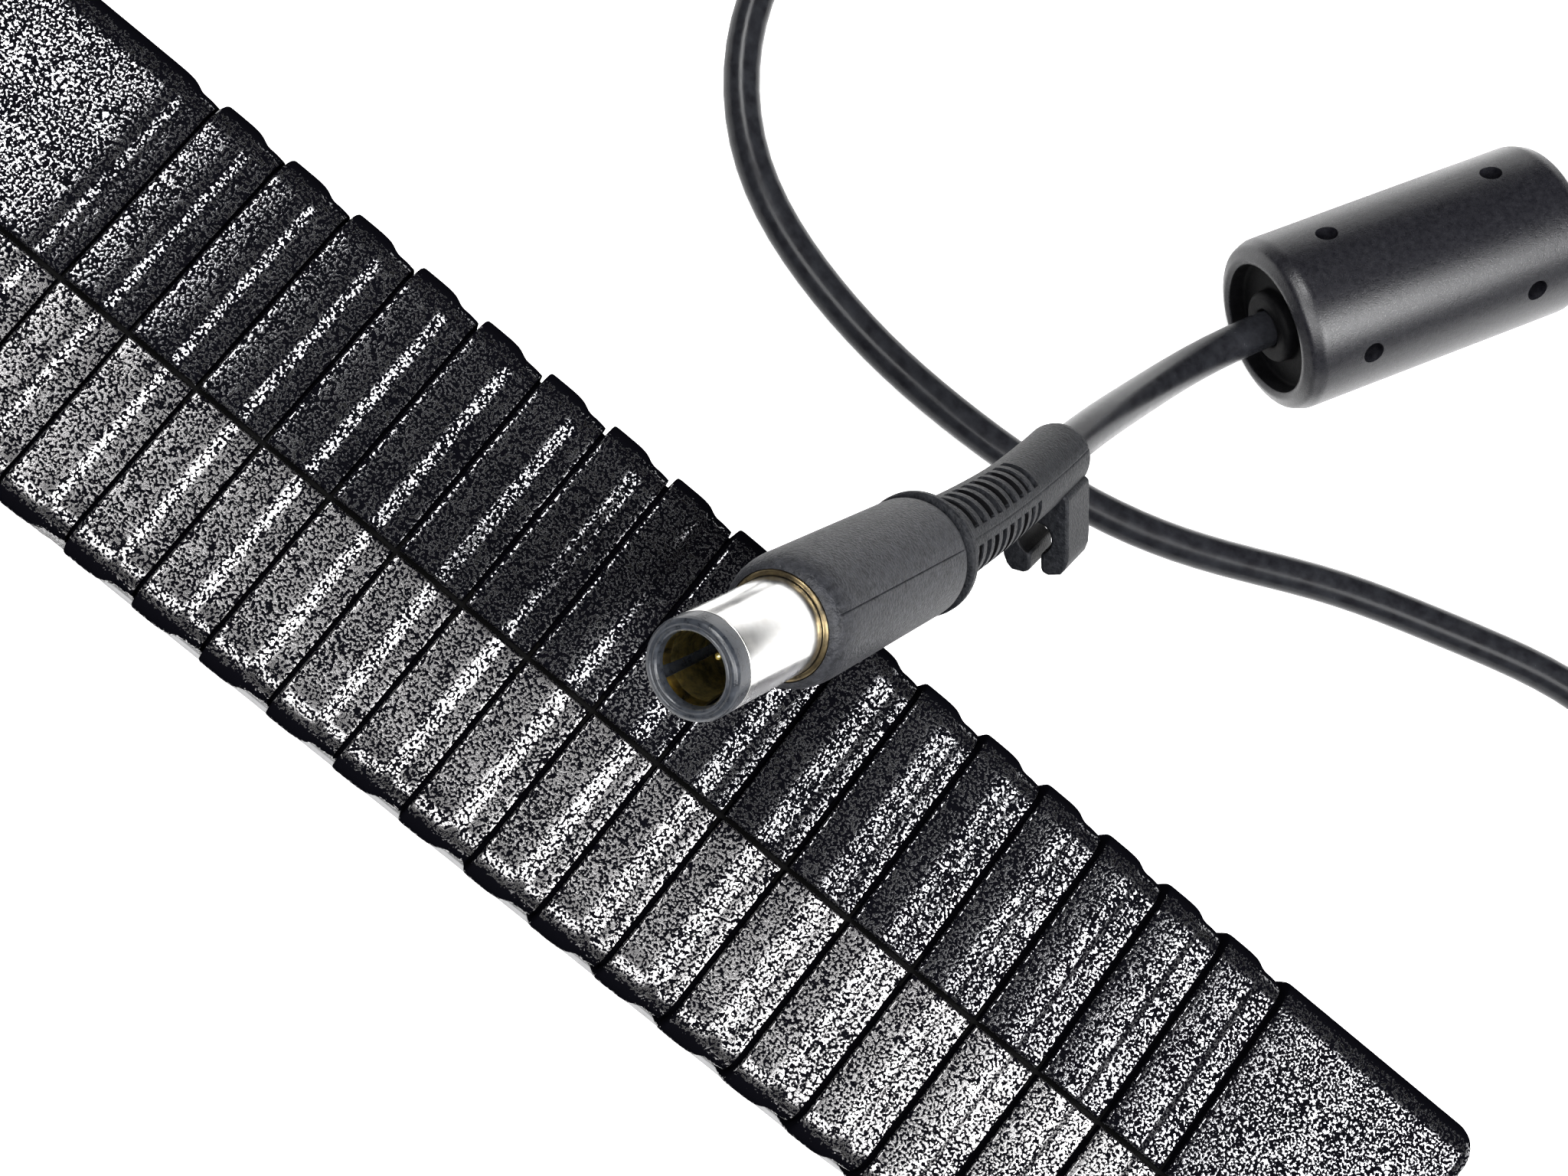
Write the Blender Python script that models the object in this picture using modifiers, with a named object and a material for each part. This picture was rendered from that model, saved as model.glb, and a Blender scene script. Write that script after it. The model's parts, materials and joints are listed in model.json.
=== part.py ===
"""Laptop power adapter: a two-part ribbed case standing on its long narrow side,
its circuit inside, and its DC lead with a ferrite and a barrel plug.

Sizes are in millimetres and the helpers turn them into metres.
X runs along the case, Y across its thickness, Z up its standing width.
The origin is the middle of the case's footprint on the surface it stands on.
"""
import math

import bmesh
import bpy
from mathutils import Matrix, Vector

MM = 0.001
GAP = 0.3

# Case
CASE_LENGTH = 142.0
CASE_THICKNESS = 32.2
CASE_WIDTH = 52.0
WALL = 2.0
EDGE_WALL = 2.2
CORNER_RADIUS = 3.0
END_RADIUS = 2.0
PARTING_Y = -1.5
HALF_LENGTH = CASE_LENGTH / 2
HALF_THICKNESS = CASE_THICKNESS / 2
MID_Z = CASE_WIDTH / 2

# Ribs along the two narrow sides, standing proud of the broad faces where they wrap round
# onto them. The shape lists how far one rib lies under its crest at each share of the pitch.
RIB_PITCH = 6.0
RIB_COUNT = 17
RIB_DEPTH = 0.6
RIB_SHAPE = ((0.01, 0.12), (0.15, 0.0), (0.5, 0.05), (0.62, 0.16), (0.72, 0.5), (1.0, RIB_DEPTH))
RIB_WRAP = 9.0
RIB_START = -RIB_PITCH * RIB_COUNT / 2
BODY_HALF = HALF_THICKNESS - RIB_DEPTH

# Circuit board and what lies over and under it
BOARD_TOP = -7.8
BOARD_THICKNESS = 1.6
SEAT_Y = BOARD_TOP + GAP
SPREADER_THICKNESS = 0.8
SHEET_THICKNESS = 0.4
POST_RADIUS = 2.0
POST_PLACES = [(x, z) for x in (-53.0, 63.5) for z in (6.5, CASE_WIDTH - 6.5)]

# Mains inlet in the -X end
INLET_RADIUS = 7.0
INLET_LOBE = 0.9
INLET_WALL = 1.6
INLET_DEPTH = 12.5
INLET_BACK = -56.0
PIN_RADIUS = 1.15
PIN_CIRCLE = 4.2

# DC lead
CORD_RADIUS = 1.8
CORD_STEP = 8.5
FLOOR_HEIGHT = 1.85
GLAND_TIP = 95.0

# Plug: its tip's centre, which way its lead end points, how far it leans, and how far its
# moulding's parting line is turned about its own axis
PLUG_TIP = Vector((-0.81, 2.1, 73.16))
PLUG_HEADING = math.radians(65.2)
PLUG_LEAN = math.radians(46.2)
PLUG_ROLL = math.radians(75.7)
BARREL_RADIUS = 3.7
BARREL_REACH = 11.0
GRIP_END = 30.8
RELIEF_START = GRIP_END + GAP
TAIL = Vector((15.4, 42.5, 31.3))
SLOT_COUNT = 10
SLOT_PITCH = 1.54
SLOT_WIDTH = 0.8
SLOT_DEPTH = 1.0
BOSS_RADIUS = 2.9
CLIP_HANGS = Vector((0.664, -0.58, -0.471))
CLIP_LENGTH = 5.5

# Ferrite on the lead
FERRITE_CENTRE = Vector((34.9, 86.5, 8.8))
FERRITE_HEADING = math.radians(60.2)
FERRITE_LENGTH = 32.0
FERRITE_RADIUS = 8.7
CORE_RADIUS = 6.9
CORE_LENGTH = 26.0
CORD_BORE = CORD_RADIUS + GAP
HOLE_RADIUS = 0.95

# Coil of the put-away length and its tie
COIL_CENTRE = Vector((-60.0, 94.0, 0.0))
COIL_INNER = 15.3
COIL_OUTER = 26.5
COIL_BOTTOM = 1.6
COIL_TOP = 13.2
TIE_ANGLE = math.radians(150.0)
TIE_WIDTH = 10.0
TIE_THICKNESS = 1.0

# The lead's route where it isn't coiled: case to coil, then coil to plug
ROUTE_TO_COIL = [
    (97.3, -1.5, 26.0), (104.4, -0.6, 25.8), (111.5, 3.6, 25.2), (116.6, 11.5, 24.1),
    (118.6, 22.0, 22.4), (117.2, 33.5, 20.0), (112.2, 44.4, 17.1), (103.8, 54.0, 13.9),
    (93.0, 61.2, 10.9), (81.6, 65.4, 8.8), (72.3, 65.6, 7.6), (60.9, 62.8, 5.3),
    (49.6, 59.5, 3.2), (39.7, 54.8, 2.1), (32.0, 51.6, FLOOR_HEIGHT),
    (24.2, 49.6, FLOOR_HEIGHT), (15.4, 48.4, FLOOR_HEIGHT), (2.9, 48.0, FLOOR_HEIGHT),
    (-5.1, 48.8, FLOOR_HEIGHT), (-9.8, 49.7, FLOOR_HEIGHT), (-16.1, 51.5, FLOOR_HEIGHT),
    (-22.4, 54.8, FLOOR_HEIGHT), (-27.8, 60.2, FLOOR_HEIGHT), (-31.2, 66.2, FLOOR_HEIGHT),
    (-33.2, 73.6, FLOOR_HEIGHT), (-33.0, 82.0, FLOOR_HEIGHT), (-31.6, 90.8, FLOOR_HEIGHT),
]
ROUTE_TO_PLUG = [
    (-39.0, 75.1, 9.8), (-32.6, 80.6, 8.4), (-25.4, 87.0, 6.2), (-16.2, 94.8, 3.6),
    (-6.4, 103.4, FLOOR_HEIGHT), (3.6, 112.3, FLOOR_HEIGHT), (13.6, 121.4, FLOOR_HEIGHT),
    (23.4, 130.4, FLOOR_HEIGHT), (32.8, 137.6, FLOOR_HEIGHT), (42.8, 141.0, FLOOR_HEIGHT),
    (51.8, 137.4, FLOOR_HEIGHT), (55.6, 129.0, 2.4), (53.8, 119.6, 4.6), (50.0, 112.4, 7.4),
]
ROUTE_PAST_FERRITE = [
    (24.6, 67.9, 9.5), (22.8, 63.6, 11.3), (21.2, 59.3, 14.7), (19.5, 54.7, 19.2),
    (17.8, 50.1, 24.0), (16.4, 46.1, 27.9),
]


# ---------------------------------------------------------------- scene and materials

def clear_scene():
    for thing in list(bpy.data.objects):
        bpy.data.objects.remove(thing, do_unlink=True)


def collection(name):
    group = bpy.data.collections.new(name)
    bpy.context.scene.collection.children.link(group)
    return group


clear_scene()
PARTS = collection("laptop_power_adapter")
CUTTERS = collection("cutters")


def material(name, color, roughness, metallic=0.0):
    paint = bpy.data.materials.new(name)
    paint.use_nodes = True
    shader = paint.node_tree.nodes["Principled BSDF"]
    shader.inputs["Base Color"].default_value = (*color, 1.0)
    shader.inputs["Roughness"].default_value = roughness
    shader.inputs["Metallic"].default_value = metallic
    return paint


CASE_PLASTIC = material("case_plastic", (0.02, 0.02, 0.022), 0.45)
CORD_JACKET = material("cord_jacket", (0.02, 0.02, 0.022), 0.35)
SOFT_PLASTIC = material("soft_overmould", (0.06, 0.06, 0.065), 0.6)
BLACK_PLASTIC = material("black_plastic", (0.03, 0.03, 0.035), 0.4)
NICKEL = material("nickel", (0.75, 0.74, 0.72), 0.2, 1.0)
BRASS = material("brass", (0.72, 0.55, 0.25), 0.3, 1.0)
FERRITE_CERAMIC = material("ferrite_ceramic", (0.09, 0.09, 0.1), 0.7)
BOARD_LAMINATE = material("board_laminate", (0.05, 0.25, 0.1), 0.5)
FILM = material("insulating_film", (0.75, 0.74, 0.68), 0.5)
ALUMINIUM = material("aluminium", (0.75, 0.76, 0.77), 0.35, 1.0)
COPPER = material("copper_winding", (0.65, 0.3, 0.15), 0.35, 1.0)
TAPE = material("yellow_tape", (0.8, 0.65, 0.1), 0.5)
SLEEVE = material("capacitor_sleeve", (0.04, 0.06, 0.16), 0.35)
RESIN = material("component_resin", (0.03, 0.03, 0.03), 0.5)
BLUE_RESIN = material("blue_resin", (0.05, 0.2, 0.55), 0.4)
GREY_BOX = material("grey_box", (0.55, 0.56, 0.55), 0.5)
LABEL = material("label_film", (0.62, 0.62, 0.62), 0.45)
STRAP = material("tie_strap", (0.03, 0.03, 0.03), 0.9)
BROWN = material("brown_insulation", (0.25, 0.1, 0.04), 0.5)
BLUE = material("blue_insulation", (0.03, 0.15, 0.5), 0.5)
GREEN = material("green_insulation", (0.1, 0.4, 0.08), 0.5)
RED = material("red_insulation", (0.6, 0.04, 0.03), 0.5)


# ---------------------------------------------------------------- shape helpers

def add(name, mesh, paint, group=None):
    thing = bpy.data.objects.new(name, mesh)
    (group or PARTS).objects.link(thing)
    if paint:
        mesh.materials.append(paint)
    return thing


def as_cutter(thing):
    thing.hide_render = True
    thing.display_type = "WIRE"
    return thing


def mesh_from(name, form):
    bmesh.ops.recalc_face_normals(form, faces=form.faces)
    mesh = bpy.data.meshes.new(name)
    form.to_mesh(mesh)
    form.free()
    return mesh


def smooth(thing, angle=35.0):
    thing.data.shade_smooth()
    thing.data.set_sharp_from_angle(angle=math.radians(angle))
    return thing


def bevel(thing, width, segments=2):
    mod = thing.modifiers.new("edges", "BEVEL")
    mod.width = width * MM
    mod.segments = segments
    mod.limit_method = "ANGLE"
    mod.angle_limit = math.radians(40.0)
    return thing


def combine(thing, other, operation):
    mod = thing.modifiers.new(operation.lower(), "BOOLEAN")
    mod.operation = operation
    mod.solver = "EXACT"
    mod.object = other
    return thing


def box(name, x, y, z, paint, group=None, edge=0.0):
    """A box between the low and high values given for each axis."""
    form = bmesh.new()
    bmesh.ops.create_cube(form, size=1.0)
    size = Vector((x[1] - x[0], y[1] - y[0], z[1] - z[0])) * MM
    bmesh.ops.scale(form, vec=size, verts=form.verts)
    thing = add(name, mesh_from(name, form), paint, group)
    thing.location = Vector(((x[0] + x[1]) / 2, (y[0] + y[1]) / 2, (z[0] + z[1]) / 2)) * MM
    return bevel(thing, edge) if edge else thing


def aim(thing, base, axis):
    """Put a thing's own origin at base and its own +Z along axis."""
    thing.location = Vector(base) * MM
    thing.rotation_mode = "QUATERNION"
    thing.rotation_quaternion = Vector(axis).to_track_quat("Z", "Y")
    return thing


def rod(name, start, end, radius, paint, group=None, segments=16):
    """A round bar from start to end."""
    start, end = Vector(start), Vector(end)
    length = (end - start).length * MM
    form = bmesh.new()
    bmesh.ops.create_cone(form, cap_ends=True, segments=segments, radius1=radius * MM,
                          radius2=radius * MM, depth=length)
    bmesh.ops.translate(form, vec=(0.0, 0.0, length / 2), verts=form.verts)
    thing = add(name, mesh_from(name, form), paint, group)
    return aim(smooth(thing), start, end - start)


def turned(name, profile, paint, closed=False, segments=20, group=None):
    """A body of revolution about its own Z. The profile lists (radius, height) pairs and
    runs down the outer side; a closed profile makes a ring."""
    mesh = bpy.data.meshes.new(name)
    verts = [(r * MM, 0.0, h * MM) for r, h in profile]
    edges = [(i, i + 1) for i in range(len(verts) - 1)]
    if closed:
        edges.append((len(verts) - 1, 0))
    mesh.from_pydata(verts, edges, [])
    thing = add(name, mesh, paint, group)
    mod = thing.modifiers.new("turn", "SCREW")
    mod.steps = segments
    mod.render_steps = segments
    mod.use_merge_vertices = True
    mod.merge_threshold = 0.00001
    mod.use_smooth_shade = True
    return thing


def tube(name, points, radius, paint):
    """A round lead along the points, with flat ends."""
    line = bpy.data.curves.new(name, "CURVE")
    line.dimensions = "3D"
    line.bevel_depth = radius * MM
    line.bevel_resolution = 2
    line.use_fill_caps = True
    line.render_resolution_u = 0
    spline = line.splines.new("POLY")
    spline.points.add(len(points) - 1)
    for point, place in zip(spline.points, points):
        point.co = (*(Vector(place) * MM), 1.0)
    thing = bpy.data.objects.new(name, line)
    PARTS.objects.link(thing)
    line.materials.append(paint)
    return thing


def flat_outline(name, outline, thickness, paint, group=None):
    """A flat plate in its own XY plane, centred on it, as a closed mesh."""
    line = bpy.data.curves.new(name, "CURVE")
    line.dimensions = "2D"
    line.fill_mode = "BOTH"
    line.extrude = thickness / 2 * MM
    line.render_resolution_u = 0
    spline = line.splines.new("POLY")
    spline.points.add(len(outline) - 1)
    for point, (x, y) in zip(spline.points, outline):
        point.co = (x * MM, y * MM, 0.0, 1.0)
    spline.use_cyclic_u = True
    guide = bpy.data.objects.new(name + "_outline", line)
    bpy.context.scene.collection.objects.link(guide)
    seen = guide.evaluated_get(bpy.context.evaluated_depsgraph_get())
    form = bmesh.new()
    form.from_mesh(bpy.data.meshes.new_from_object(seen))
    bpy.data.objects.remove(guide, do_unlink=True)
    bmesh.ops.remove_doubles(form, verts=form.verts, dist=0.000001)
    return add(name, mesh_from(name, form), paint, group)


def loft(name, sections, paint, group=None):
    """A closed body through rings of points, capped at both ends."""
    form = bmesh.new()
    rings = [[form.verts.new(Vector(p) * MM) for p in ring] for ring in sections]
    count = len(rings[0])
    for low, high in zip(rings, rings[1:]):
        for i in range(count):
            j = (i + 1) % count
            form.faces.new((low[i], low[j], high[j], high[i]))
    form.faces.new(rings[0])
    form.faces.new(rings[-1])
    return add(name, mesh_from(name, form), paint, group)


def arc(centre_x, centre_y, radius, start, end, steps):
    """Points on a circle from start to end degrees."""
    angles = [math.radians(start + (end - start) * i / steps) for i in range(steps + 1)]
    return [(centre_x + radius * math.cos(a), centre_y + radius * math.sin(a)) for a in angles]


def smooth_route(points, step):
    """Points about a step apart on the smooth curve through the route's points."""
    places = [Vector(p) for p in points]
    ends = [2 * places[0] - places[1]] + places + [2 * places[-1] - places[-2]]
    fine = []
    for a, b, c, d in zip(ends, ends[1:], ends[2:], ends[3:]):
        for i in range(20):
            t = i / 20
            fine.append(0.5 * (2 * b + (c - a) * t + (2 * a - 5 * b + 4 * c - d) * t * t
                               + (3 * b - a - 3 * c + d) * t ** 3))
    fine.append(places[-1])
    total = sum((q - p).length for p, q in zip(fine, fine[1:]))
    spacing = total / max(2, round(total / step))
    kept, walked, due = [fine[0]], 0.0, spacing
    for p, q in zip(fine, fine[1:]):
        walked += (q - p).length
        if walked >= due - 1e-6 and q is not fine[-1]:
            kept.append(q)
            due += spacing
    if (kept[-1] - fine[-1]).length < spacing / 2:
        kept.pop()
    return kept + [fine[-1]]


# ---------------------------------------------------------------- case

def case_section(x, ribs, ends):
    """The case's rounded outline at x, drawn in by the ribs' and the end edges' insets."""
    half_y = HALF_THICKNESS - ribs - ends
    half_z = CASE_WIDTH / 2 - ribs - ends
    flank_y = BODY_HALF - ends
    flank_z = CASE_WIDTH / 2 - RIB_WRAP
    radius = CORNER_RADIUS
    points = []
    for sign_y, sign_z, start in ((1, 1, 0), (-1, 1, 90), (-1, -1, 180), (1, -1, 270)):
        centre = (sign_y * (half_y - radius), sign_z * (half_z - radius))
        corner = arc(*centre, radius, start, start + 90, 2)
        flank = (sign_y * flank_y, sign_z * flank_z)
        if sign_y * sign_z > 0:
            corner.insert(0, flank)
        else:
            corner.append(flank)
        points += corner
    return [(x, y, MID_Z + z) for y, z in points]


def case_body(name):
    """The whole case as one solid, before it is hollowed and split."""
    stations = []
    for x in (0.0, 0.5, END_RADIUS):
        drop = END_RADIUS - math.sqrt(END_RADIUS ** 2 - (END_RADIUS - x) ** 2)
        stations.append((-HALF_LENGTH + x, 0.0, drop))
    stations.append((RIB_START - 0.8 * RIB_PITCH, 0.0, 0.0))
    stations += [(RIB_START + (u - 1) * RIB_PITCH, inset, 0.0) for u, inset in RIB_SHAPE[2:]]
    for k in range(RIB_COUNT):
        stations += [(RIB_START + (k + u) * RIB_PITCH, inset, 0.0) for u, inset in RIB_SHAPE]
    stations += [(-RIB_START + u * RIB_PITCH, inset, 0.0) for u, inset in RIB_SHAPE[:2]]
    for x in (END_RADIUS, 0.5, 0.0):
        drop = END_RADIUS - math.sqrt(END_RADIUS ** 2 - (END_RADIUS - x) ** 2)
        stations.append((HALF_LENGTH - x, 0.0, drop))
    return loft(name, [case_section(*station) for station in stations], CASE_PLASTIC)


def trefoil(offset):
    """The mains inlet's three-lobed outline, grown by offset."""
    points = []
    for i in range(24):
        a = 2 * math.pi * i / 24
        r = INLET_RADIUS + offset + INLET_LOBE * math.cos(3 * (a - math.pi / 2))
        points.append((r * math.cos(a), r * math.sin(a)))
    return points


def inlet_prism(name, offset, x_low, x_high, paint, group=None):
    """The inlet's outline extruded along X. Its own X lies along Z and its own Y along Y."""
    thing = flat_outline(name, trefoil(offset), x_high - x_low, paint, group)
    place = Matrix(((0, 0, -1), (0, 1, 0), (1, 0, 0))).to_4x4()
    thing.matrix_world = Matrix.Translation(
        Vector(((x_low + x_high) / 2, PARTING_Y, MID_Z)) * MM) @ place
    return thing


def shells():
    """The two case halves: the same body, hollowed, cut at the parting plane and pierced
    for the inlet, the gland and, on the shallow half, the label's pocket."""
    cavity = as_cutter(box("cavity", (-HALF_LENGTH + WALL, HALF_LENGTH - WALL),
                           (-BODY_HALF + WALL, BODY_HALF - WALL),
                           (EDGE_WALL, CASE_WIDTH - EDGE_WALL), None, CUTTERS, edge=1.4))
    inlet_hole = as_cutter(inlet_prism("inlet_hole", INLET_WALL + GAP, -HALF_LENGTH - 2,
                                       -HALF_LENGTH + WALL + 2, None, CUTTERS))
    gland_hole = as_cutter(rod("gland_hole", (HALF_LENGTH - WALL - 2, PARTING_Y, MID_Z),
                               (HALF_LENGTH + 2, PARTING_Y, MID_Z), 3.9, None, CUTTERS))
    pocket = as_cutter(box("label_pocket", (-40.3, 40.3), (-BODY_HALF - 2, -BODY_HALF + 0.6),
                           (12.7, CASE_WIDTH - 12.7), None, CUTTERS))
    posts = []
    for i, (x, z) in enumerate(POST_PLACES):
        posts.append(as_cutter(rod(f"board_post_{i}", (x, -BODY_HALF + WALL - 0.4, z),
                                   (x, BOARD_TOP - BOARD_THICKNESS - GAP, z), POST_RADIUS,
                                   None, CUTTERS, segments=12)))
    reach = HALF_THICKNESS + 5
    for name, y in (("upper_shell", (PARTING_Y + GAP / 2, reach)),
                    ("lower_shell", (-reach, PARTING_Y - GAP / 2))):
        shell = case_body(name)
        keep = as_cutter(box(name + "_side", (-HALF_LENGTH - 5, HALF_LENGTH + 5), y,
                             (-5.0, CASE_WIDTH + 5), None, CUTTERS))
        combine(shell, cavity, "DIFFERENCE")
        combine(shell, keep, "INTERSECT")
        combine(shell, inlet_hole, "DIFFERENCE")
        combine(shell, gland_hole, "DIFFERENCE")
        if name == "lower_shell":
            combine(shell, pocket, "DIFFERENCE")
            for post in posts:
                combine(shell, post, "UNION")
    box("rating_label", (-40.0, 40.0), (-BODY_HALF + 0.02, -BODY_HALF + 0.3),
        (13.0, CASE_WIDTH - 13.0), LABEL)


# ---------------------------------------------------------------- mains inlet

def pin_place(turn):
    angle = math.radians(turn)
    return (PARTING_Y + PIN_CIRCLE * math.sin(angle), MID_Z + PIN_CIRCLE * math.cos(angle))


def inlet():
    housing = inlet_prism("inlet_housing", INLET_WALL, -HALF_LENGTH + 0.2, INLET_BACK, BLACK_PLASTIC)
    flange = as_cutter(box("inlet_flange", (-HALF_LENGTH + WALL + GAP, -HALF_LENGTH + WALL + 2),
                           (PARTING_Y - 10.5, PARTING_Y + 10.5), (MID_Z - 11.5, MID_Z + 11.5),
                           None, CUTTERS))
    recess = as_cutter(inlet_prism("inlet_recess", 0.0, -HALF_LENGTH - 1,
                                   -HALF_LENGTH + INLET_DEPTH, None, CUTTERS))
    combine(housing, flange, "UNION")
    combine(housing, recess, "DIFFERENCE")
    leads = (("earth", 90.0, GREEN), ("line", 210.0, BROWN), ("neutral", 330.0, BLUE))
    for use, turn, jacket in leads:
        y, z = pin_place(turn)
        hole = as_cutter(rod(f"inlet_{use}_hole", (INLET_BACK - 4, y, z), (INLET_BACK + 1, y, z),
                             PIN_RADIUS + GAP, None, CUTTERS, segments=16))
        combine(housing, hole, "DIFFERENCE")
        rod(f"inlet_pin_{use}", (-HALF_LENGTH + 5, y, z), (INLET_BACK + 3, y, z), PIN_RADIUS,
            NICKEL, segments=16)
        tail = INLET_BACK + 3 + GAP
        route = [(tail, y, z), (tail + 2.0, y - 0.2, z), (tail + 4.5, (y + SEAT_Y) / 2, z),
                 (tail + 5.5, SEAT_Y, z)]
        tube(f"inlet_lead_{use}", smooth_route(route, 1.8), 0.8, jacket)


# ---------------------------------------------------------------- circuit

def board_stack():
    half = BODY_HALF - WALL - 0.4
    inset_z = (5.0, CASE_WIDTH - 5.0)
    box("heat_spreader_lower", (-49.0, 59.5), (-half, -half + SPREADER_THICKNESS), inset_z, ALUMINIUM)
    box("heat_spreader_upper", (-46.0, 58.0), (half - SPREADER_THICKNESS, half), inset_z, ALUMINIUM)
    sheet_y = half - SPREADER_THICKNESS - 0.4
    box("insulating_sheet_lower", (-50.0, 60.5), (-sheet_y, -sheet_y + SHEET_THICKNESS),
        (4.0, CASE_WIDTH - 4.0), FILM)
    box("insulating_sheet_upper", (-50.0, 60.5), (sheet_y - SHEET_THICKNESS, sheet_y),
        (4.0, CASE_WIDTH - 4.0), FILM)
    box("circuit_board", (-55.5, 66.0), (BOARD_TOP - BOARD_THICKNESS, BOARD_TOP),
        (3.4, CASE_WIDTH - 3.4), BOARD_LAMINATE)


def can(name, x, z, radius, height, paint):
    """An electrolytic capacitor standing on the board, with its crimp near the foot."""
    r, c = radius, radius - 0.4
    profile = [(0.0, height), (r - 0.5, height), (r, height - 0.5), (r, 2.2), (c, 1.8),
               (c, 1.5), (r, 1.1), (r, 0.3), (r - 0.3, 0.0), (0.0, 0.0)]
    return aim(turned(name, profile, paint, segments=16), (x, SEAT_Y, z), (0, 1, 0))


def mains_side():
    rod("fuse", (-46.5, SEAT_Y + 2.7, 5.5), (-46.5, SEAT_Y + 2.7, 16.5), 2.6, BROWN, segments=16)
    rod("inrush_thermistor", (-45.5, SEAT_Y + 5.2, 38.5), (-45.5, SEAT_Y + 5.2, 42.5), 5.0, RESIN)
    box("x_capacitor", (-42.0, -26.0), (SEAT_Y, 5.0), (25.0, 33.5), GREY_BOX, edge=0.5)
    for i, x in enumerate((-36.5, -28.5)):
        rod(f"y_capacitor_{i + 1}", (x, SEAT_Y + 3.6, 38.0), (x, SEAT_Y + 3.6, 41.0), 3.5,
            BLUE_RESIN, segments=16)
    box("bridge_rectifier", (-22.0, -7.0), (SEAT_Y, 4.0), (26.0, 29.6), RESIN, edge=0.4)
    can_radius = 8.5
    profile = [(0.0, 31.0), (7.9, 31.0), (can_radius, 30.4), (can_radius, 3.2), (8.0, 2.7),
               (8.0, 2.2), (can_radius, 1.7), (can_radius, 0.5), (8.0, 0.0), (0.0, 0.0)]
    bulk = turned("bulk_capacitor", profile, SLEEVE)
    aim(bulk, (-23.0, SEAT_Y + can_radius + 0.2, 13.8), (1, 0, 0))


def choke():
    """A toroid lying flat, with a winding round each side of it."""
    centre = Vector((-33.0, SEAT_Y + 4.6, 13.5))
    inner, outer, half = 4.2, 7.0, 3.0
    core = turned("choke_core", [(inner, half), (outer, half), (outer, -half), (inner, -half)],
                  FERRITE_CERAMIC, closed=True)
    aim(core, centre, (0, 1, 0))
    pad = GAP
    room = as_cutter(turned("choke_core_room", [(inner - pad, half + pad), (outer + pad, half + pad),
                                                (outer + pad, -half - pad), (inner - pad, -half - pad)],
                            None, closed=True, group=CUTTERS))
    aim(room, centre, (0, 1, 0))
    wire = 1.1
    for name, side in (("choke_winding_a", 1), ("choke_winding_b", -1)):
        low, high, end = inner - pad - wire, outer + pad + wire, half + pad + wire
        coil = turned(name, [(low, end), (high, end), (high, -end), (low, -end)], COPPER, closed=True)
        aim(coil, centre, (0, 1, 0))
        x = (centre.x + 1.6, centre.x + 12) if side > 0 else (centre.x - 12, centre.x - 1.6)
        keep = as_cutter(box(name + "_side", x, (centre.y - 8, centre.y + 8),
                             (centre.z - 12, centre.z + 12), None, CUTTERS))
        combine(coil, keep, "INTERSECT")
        combine(coil, room, "DIFFERENCE")


def power_stage():
    box("primary_heat_sink", (-22.0, 8.0), (SEAT_Y, 9.0), (45.2, 47.2), ALUMINIUM)
    box("primary_transistor", (-18.0, -8.0), (-4.5, 10.0), (40.4, 44.9), RESIN, edge=0.4)
    box("controller_chip", (-2.0, 3.0), (SEAT_Y, -6.0), (33.0, 37.0), RESIN, edge=0.2)
    box("optocoupler", (20.0, 26.5), (SEAT_Y, -4.0), (41.5, 46.1), RESIN, edge=0.3)
    box("secondary_heat_sink", (32.0, 58.0), (SEAT_Y, 9.0), (45.2, 47.2), ALUMINIUM)
    box("output_rectifier", (36.0, 46.0), (-4.5, 10.0), (40.4, 44.9), RESIN, edge=0.4)
    can("output_capacitor_1", 49.5, 11.5, 5.0, 16.0, SLEEVE)
    can("output_capacitor_2", 49.5, 23.0, 5.0, 16.0, SLEEVE)
    rod("output_choke", (59.5, SEAT_Y, 11.5), (59.5, SEAT_Y + 12.0, 11.5), 4.0, RESIN)


def transformer():
    """Two E-shaped core halves facing each other along Z, their winding and its base."""
    x, y, z = 26.0, 2.6, 24.0
    plate, leg, reach = 5.0, 8.0, 15.0
    deep = 4.5
    for name, side in (("transformer_core_lower", -1), ("transformer_core_upper", 1)):
        far, near, face = z + side * (plate + leg), z + side * leg, z + side * GAP / 2
        core = box(name, (x - reach, x + reach), (y - deep, y + deep), sorted((far, near)),
                   FERRITE_CERAMIC)
        for i, (low, high) in enumerate(((-reach, -reach + 5), (-4.5, 4.5), (reach - 5, reach))):
            arm = as_cutter(box(f"{name}_leg_{i}", (x + low, x + high), (y - deep, y + deep),
                                sorted((near + side * 0.5, face)), None, CUTTERS))
            combine(core, arm, "UNION")
    winding = box("transformer_winding", (x - 9.5, x + 9.5), (y - 8.5, y + 8.5),
                  (z - leg + GAP, z + leg - GAP), TAPE, edge=1.5)
    hollow = as_cutter(box("winding_hollow", (x - 4.5 - GAP, x + 4.5 + GAP),
                           (y - deep - GAP, y + deep + GAP), (z - 12, z + 12), None, CUTTERS))
    combine(winding, hollow, "DIFFERENCE")
    box("transformer_base", (x - 12, x + 12), (SEAT_Y, SEAT_Y + 1.2), (z - 12, z + 12), RESIN)


def output_leads():
    inside = HALF_LENGTH - WALL - GAP - 1.8 - GAP
    for name, dz, jacket in (("output_lead_positive", 1.5, RED), ("output_lead_return", -1.5, RESIN)):
        route = [(inside, PARTING_Y, MID_Z + dz), (inside - 2.5, PARTING_Y - 0.4, MID_Z + 1.4 * dz),
                 (inside - 5.5, (PARTING_Y + SEAT_Y) / 2, MID_Z + 2 * dz),
                 (inside - 6.5, SEAT_Y, MID_Z + 2 * dz)]
        tube(name, smooth_route(route, 1.8), 0.8, jacket)


# ---------------------------------------------------------------- gland and lead

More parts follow.
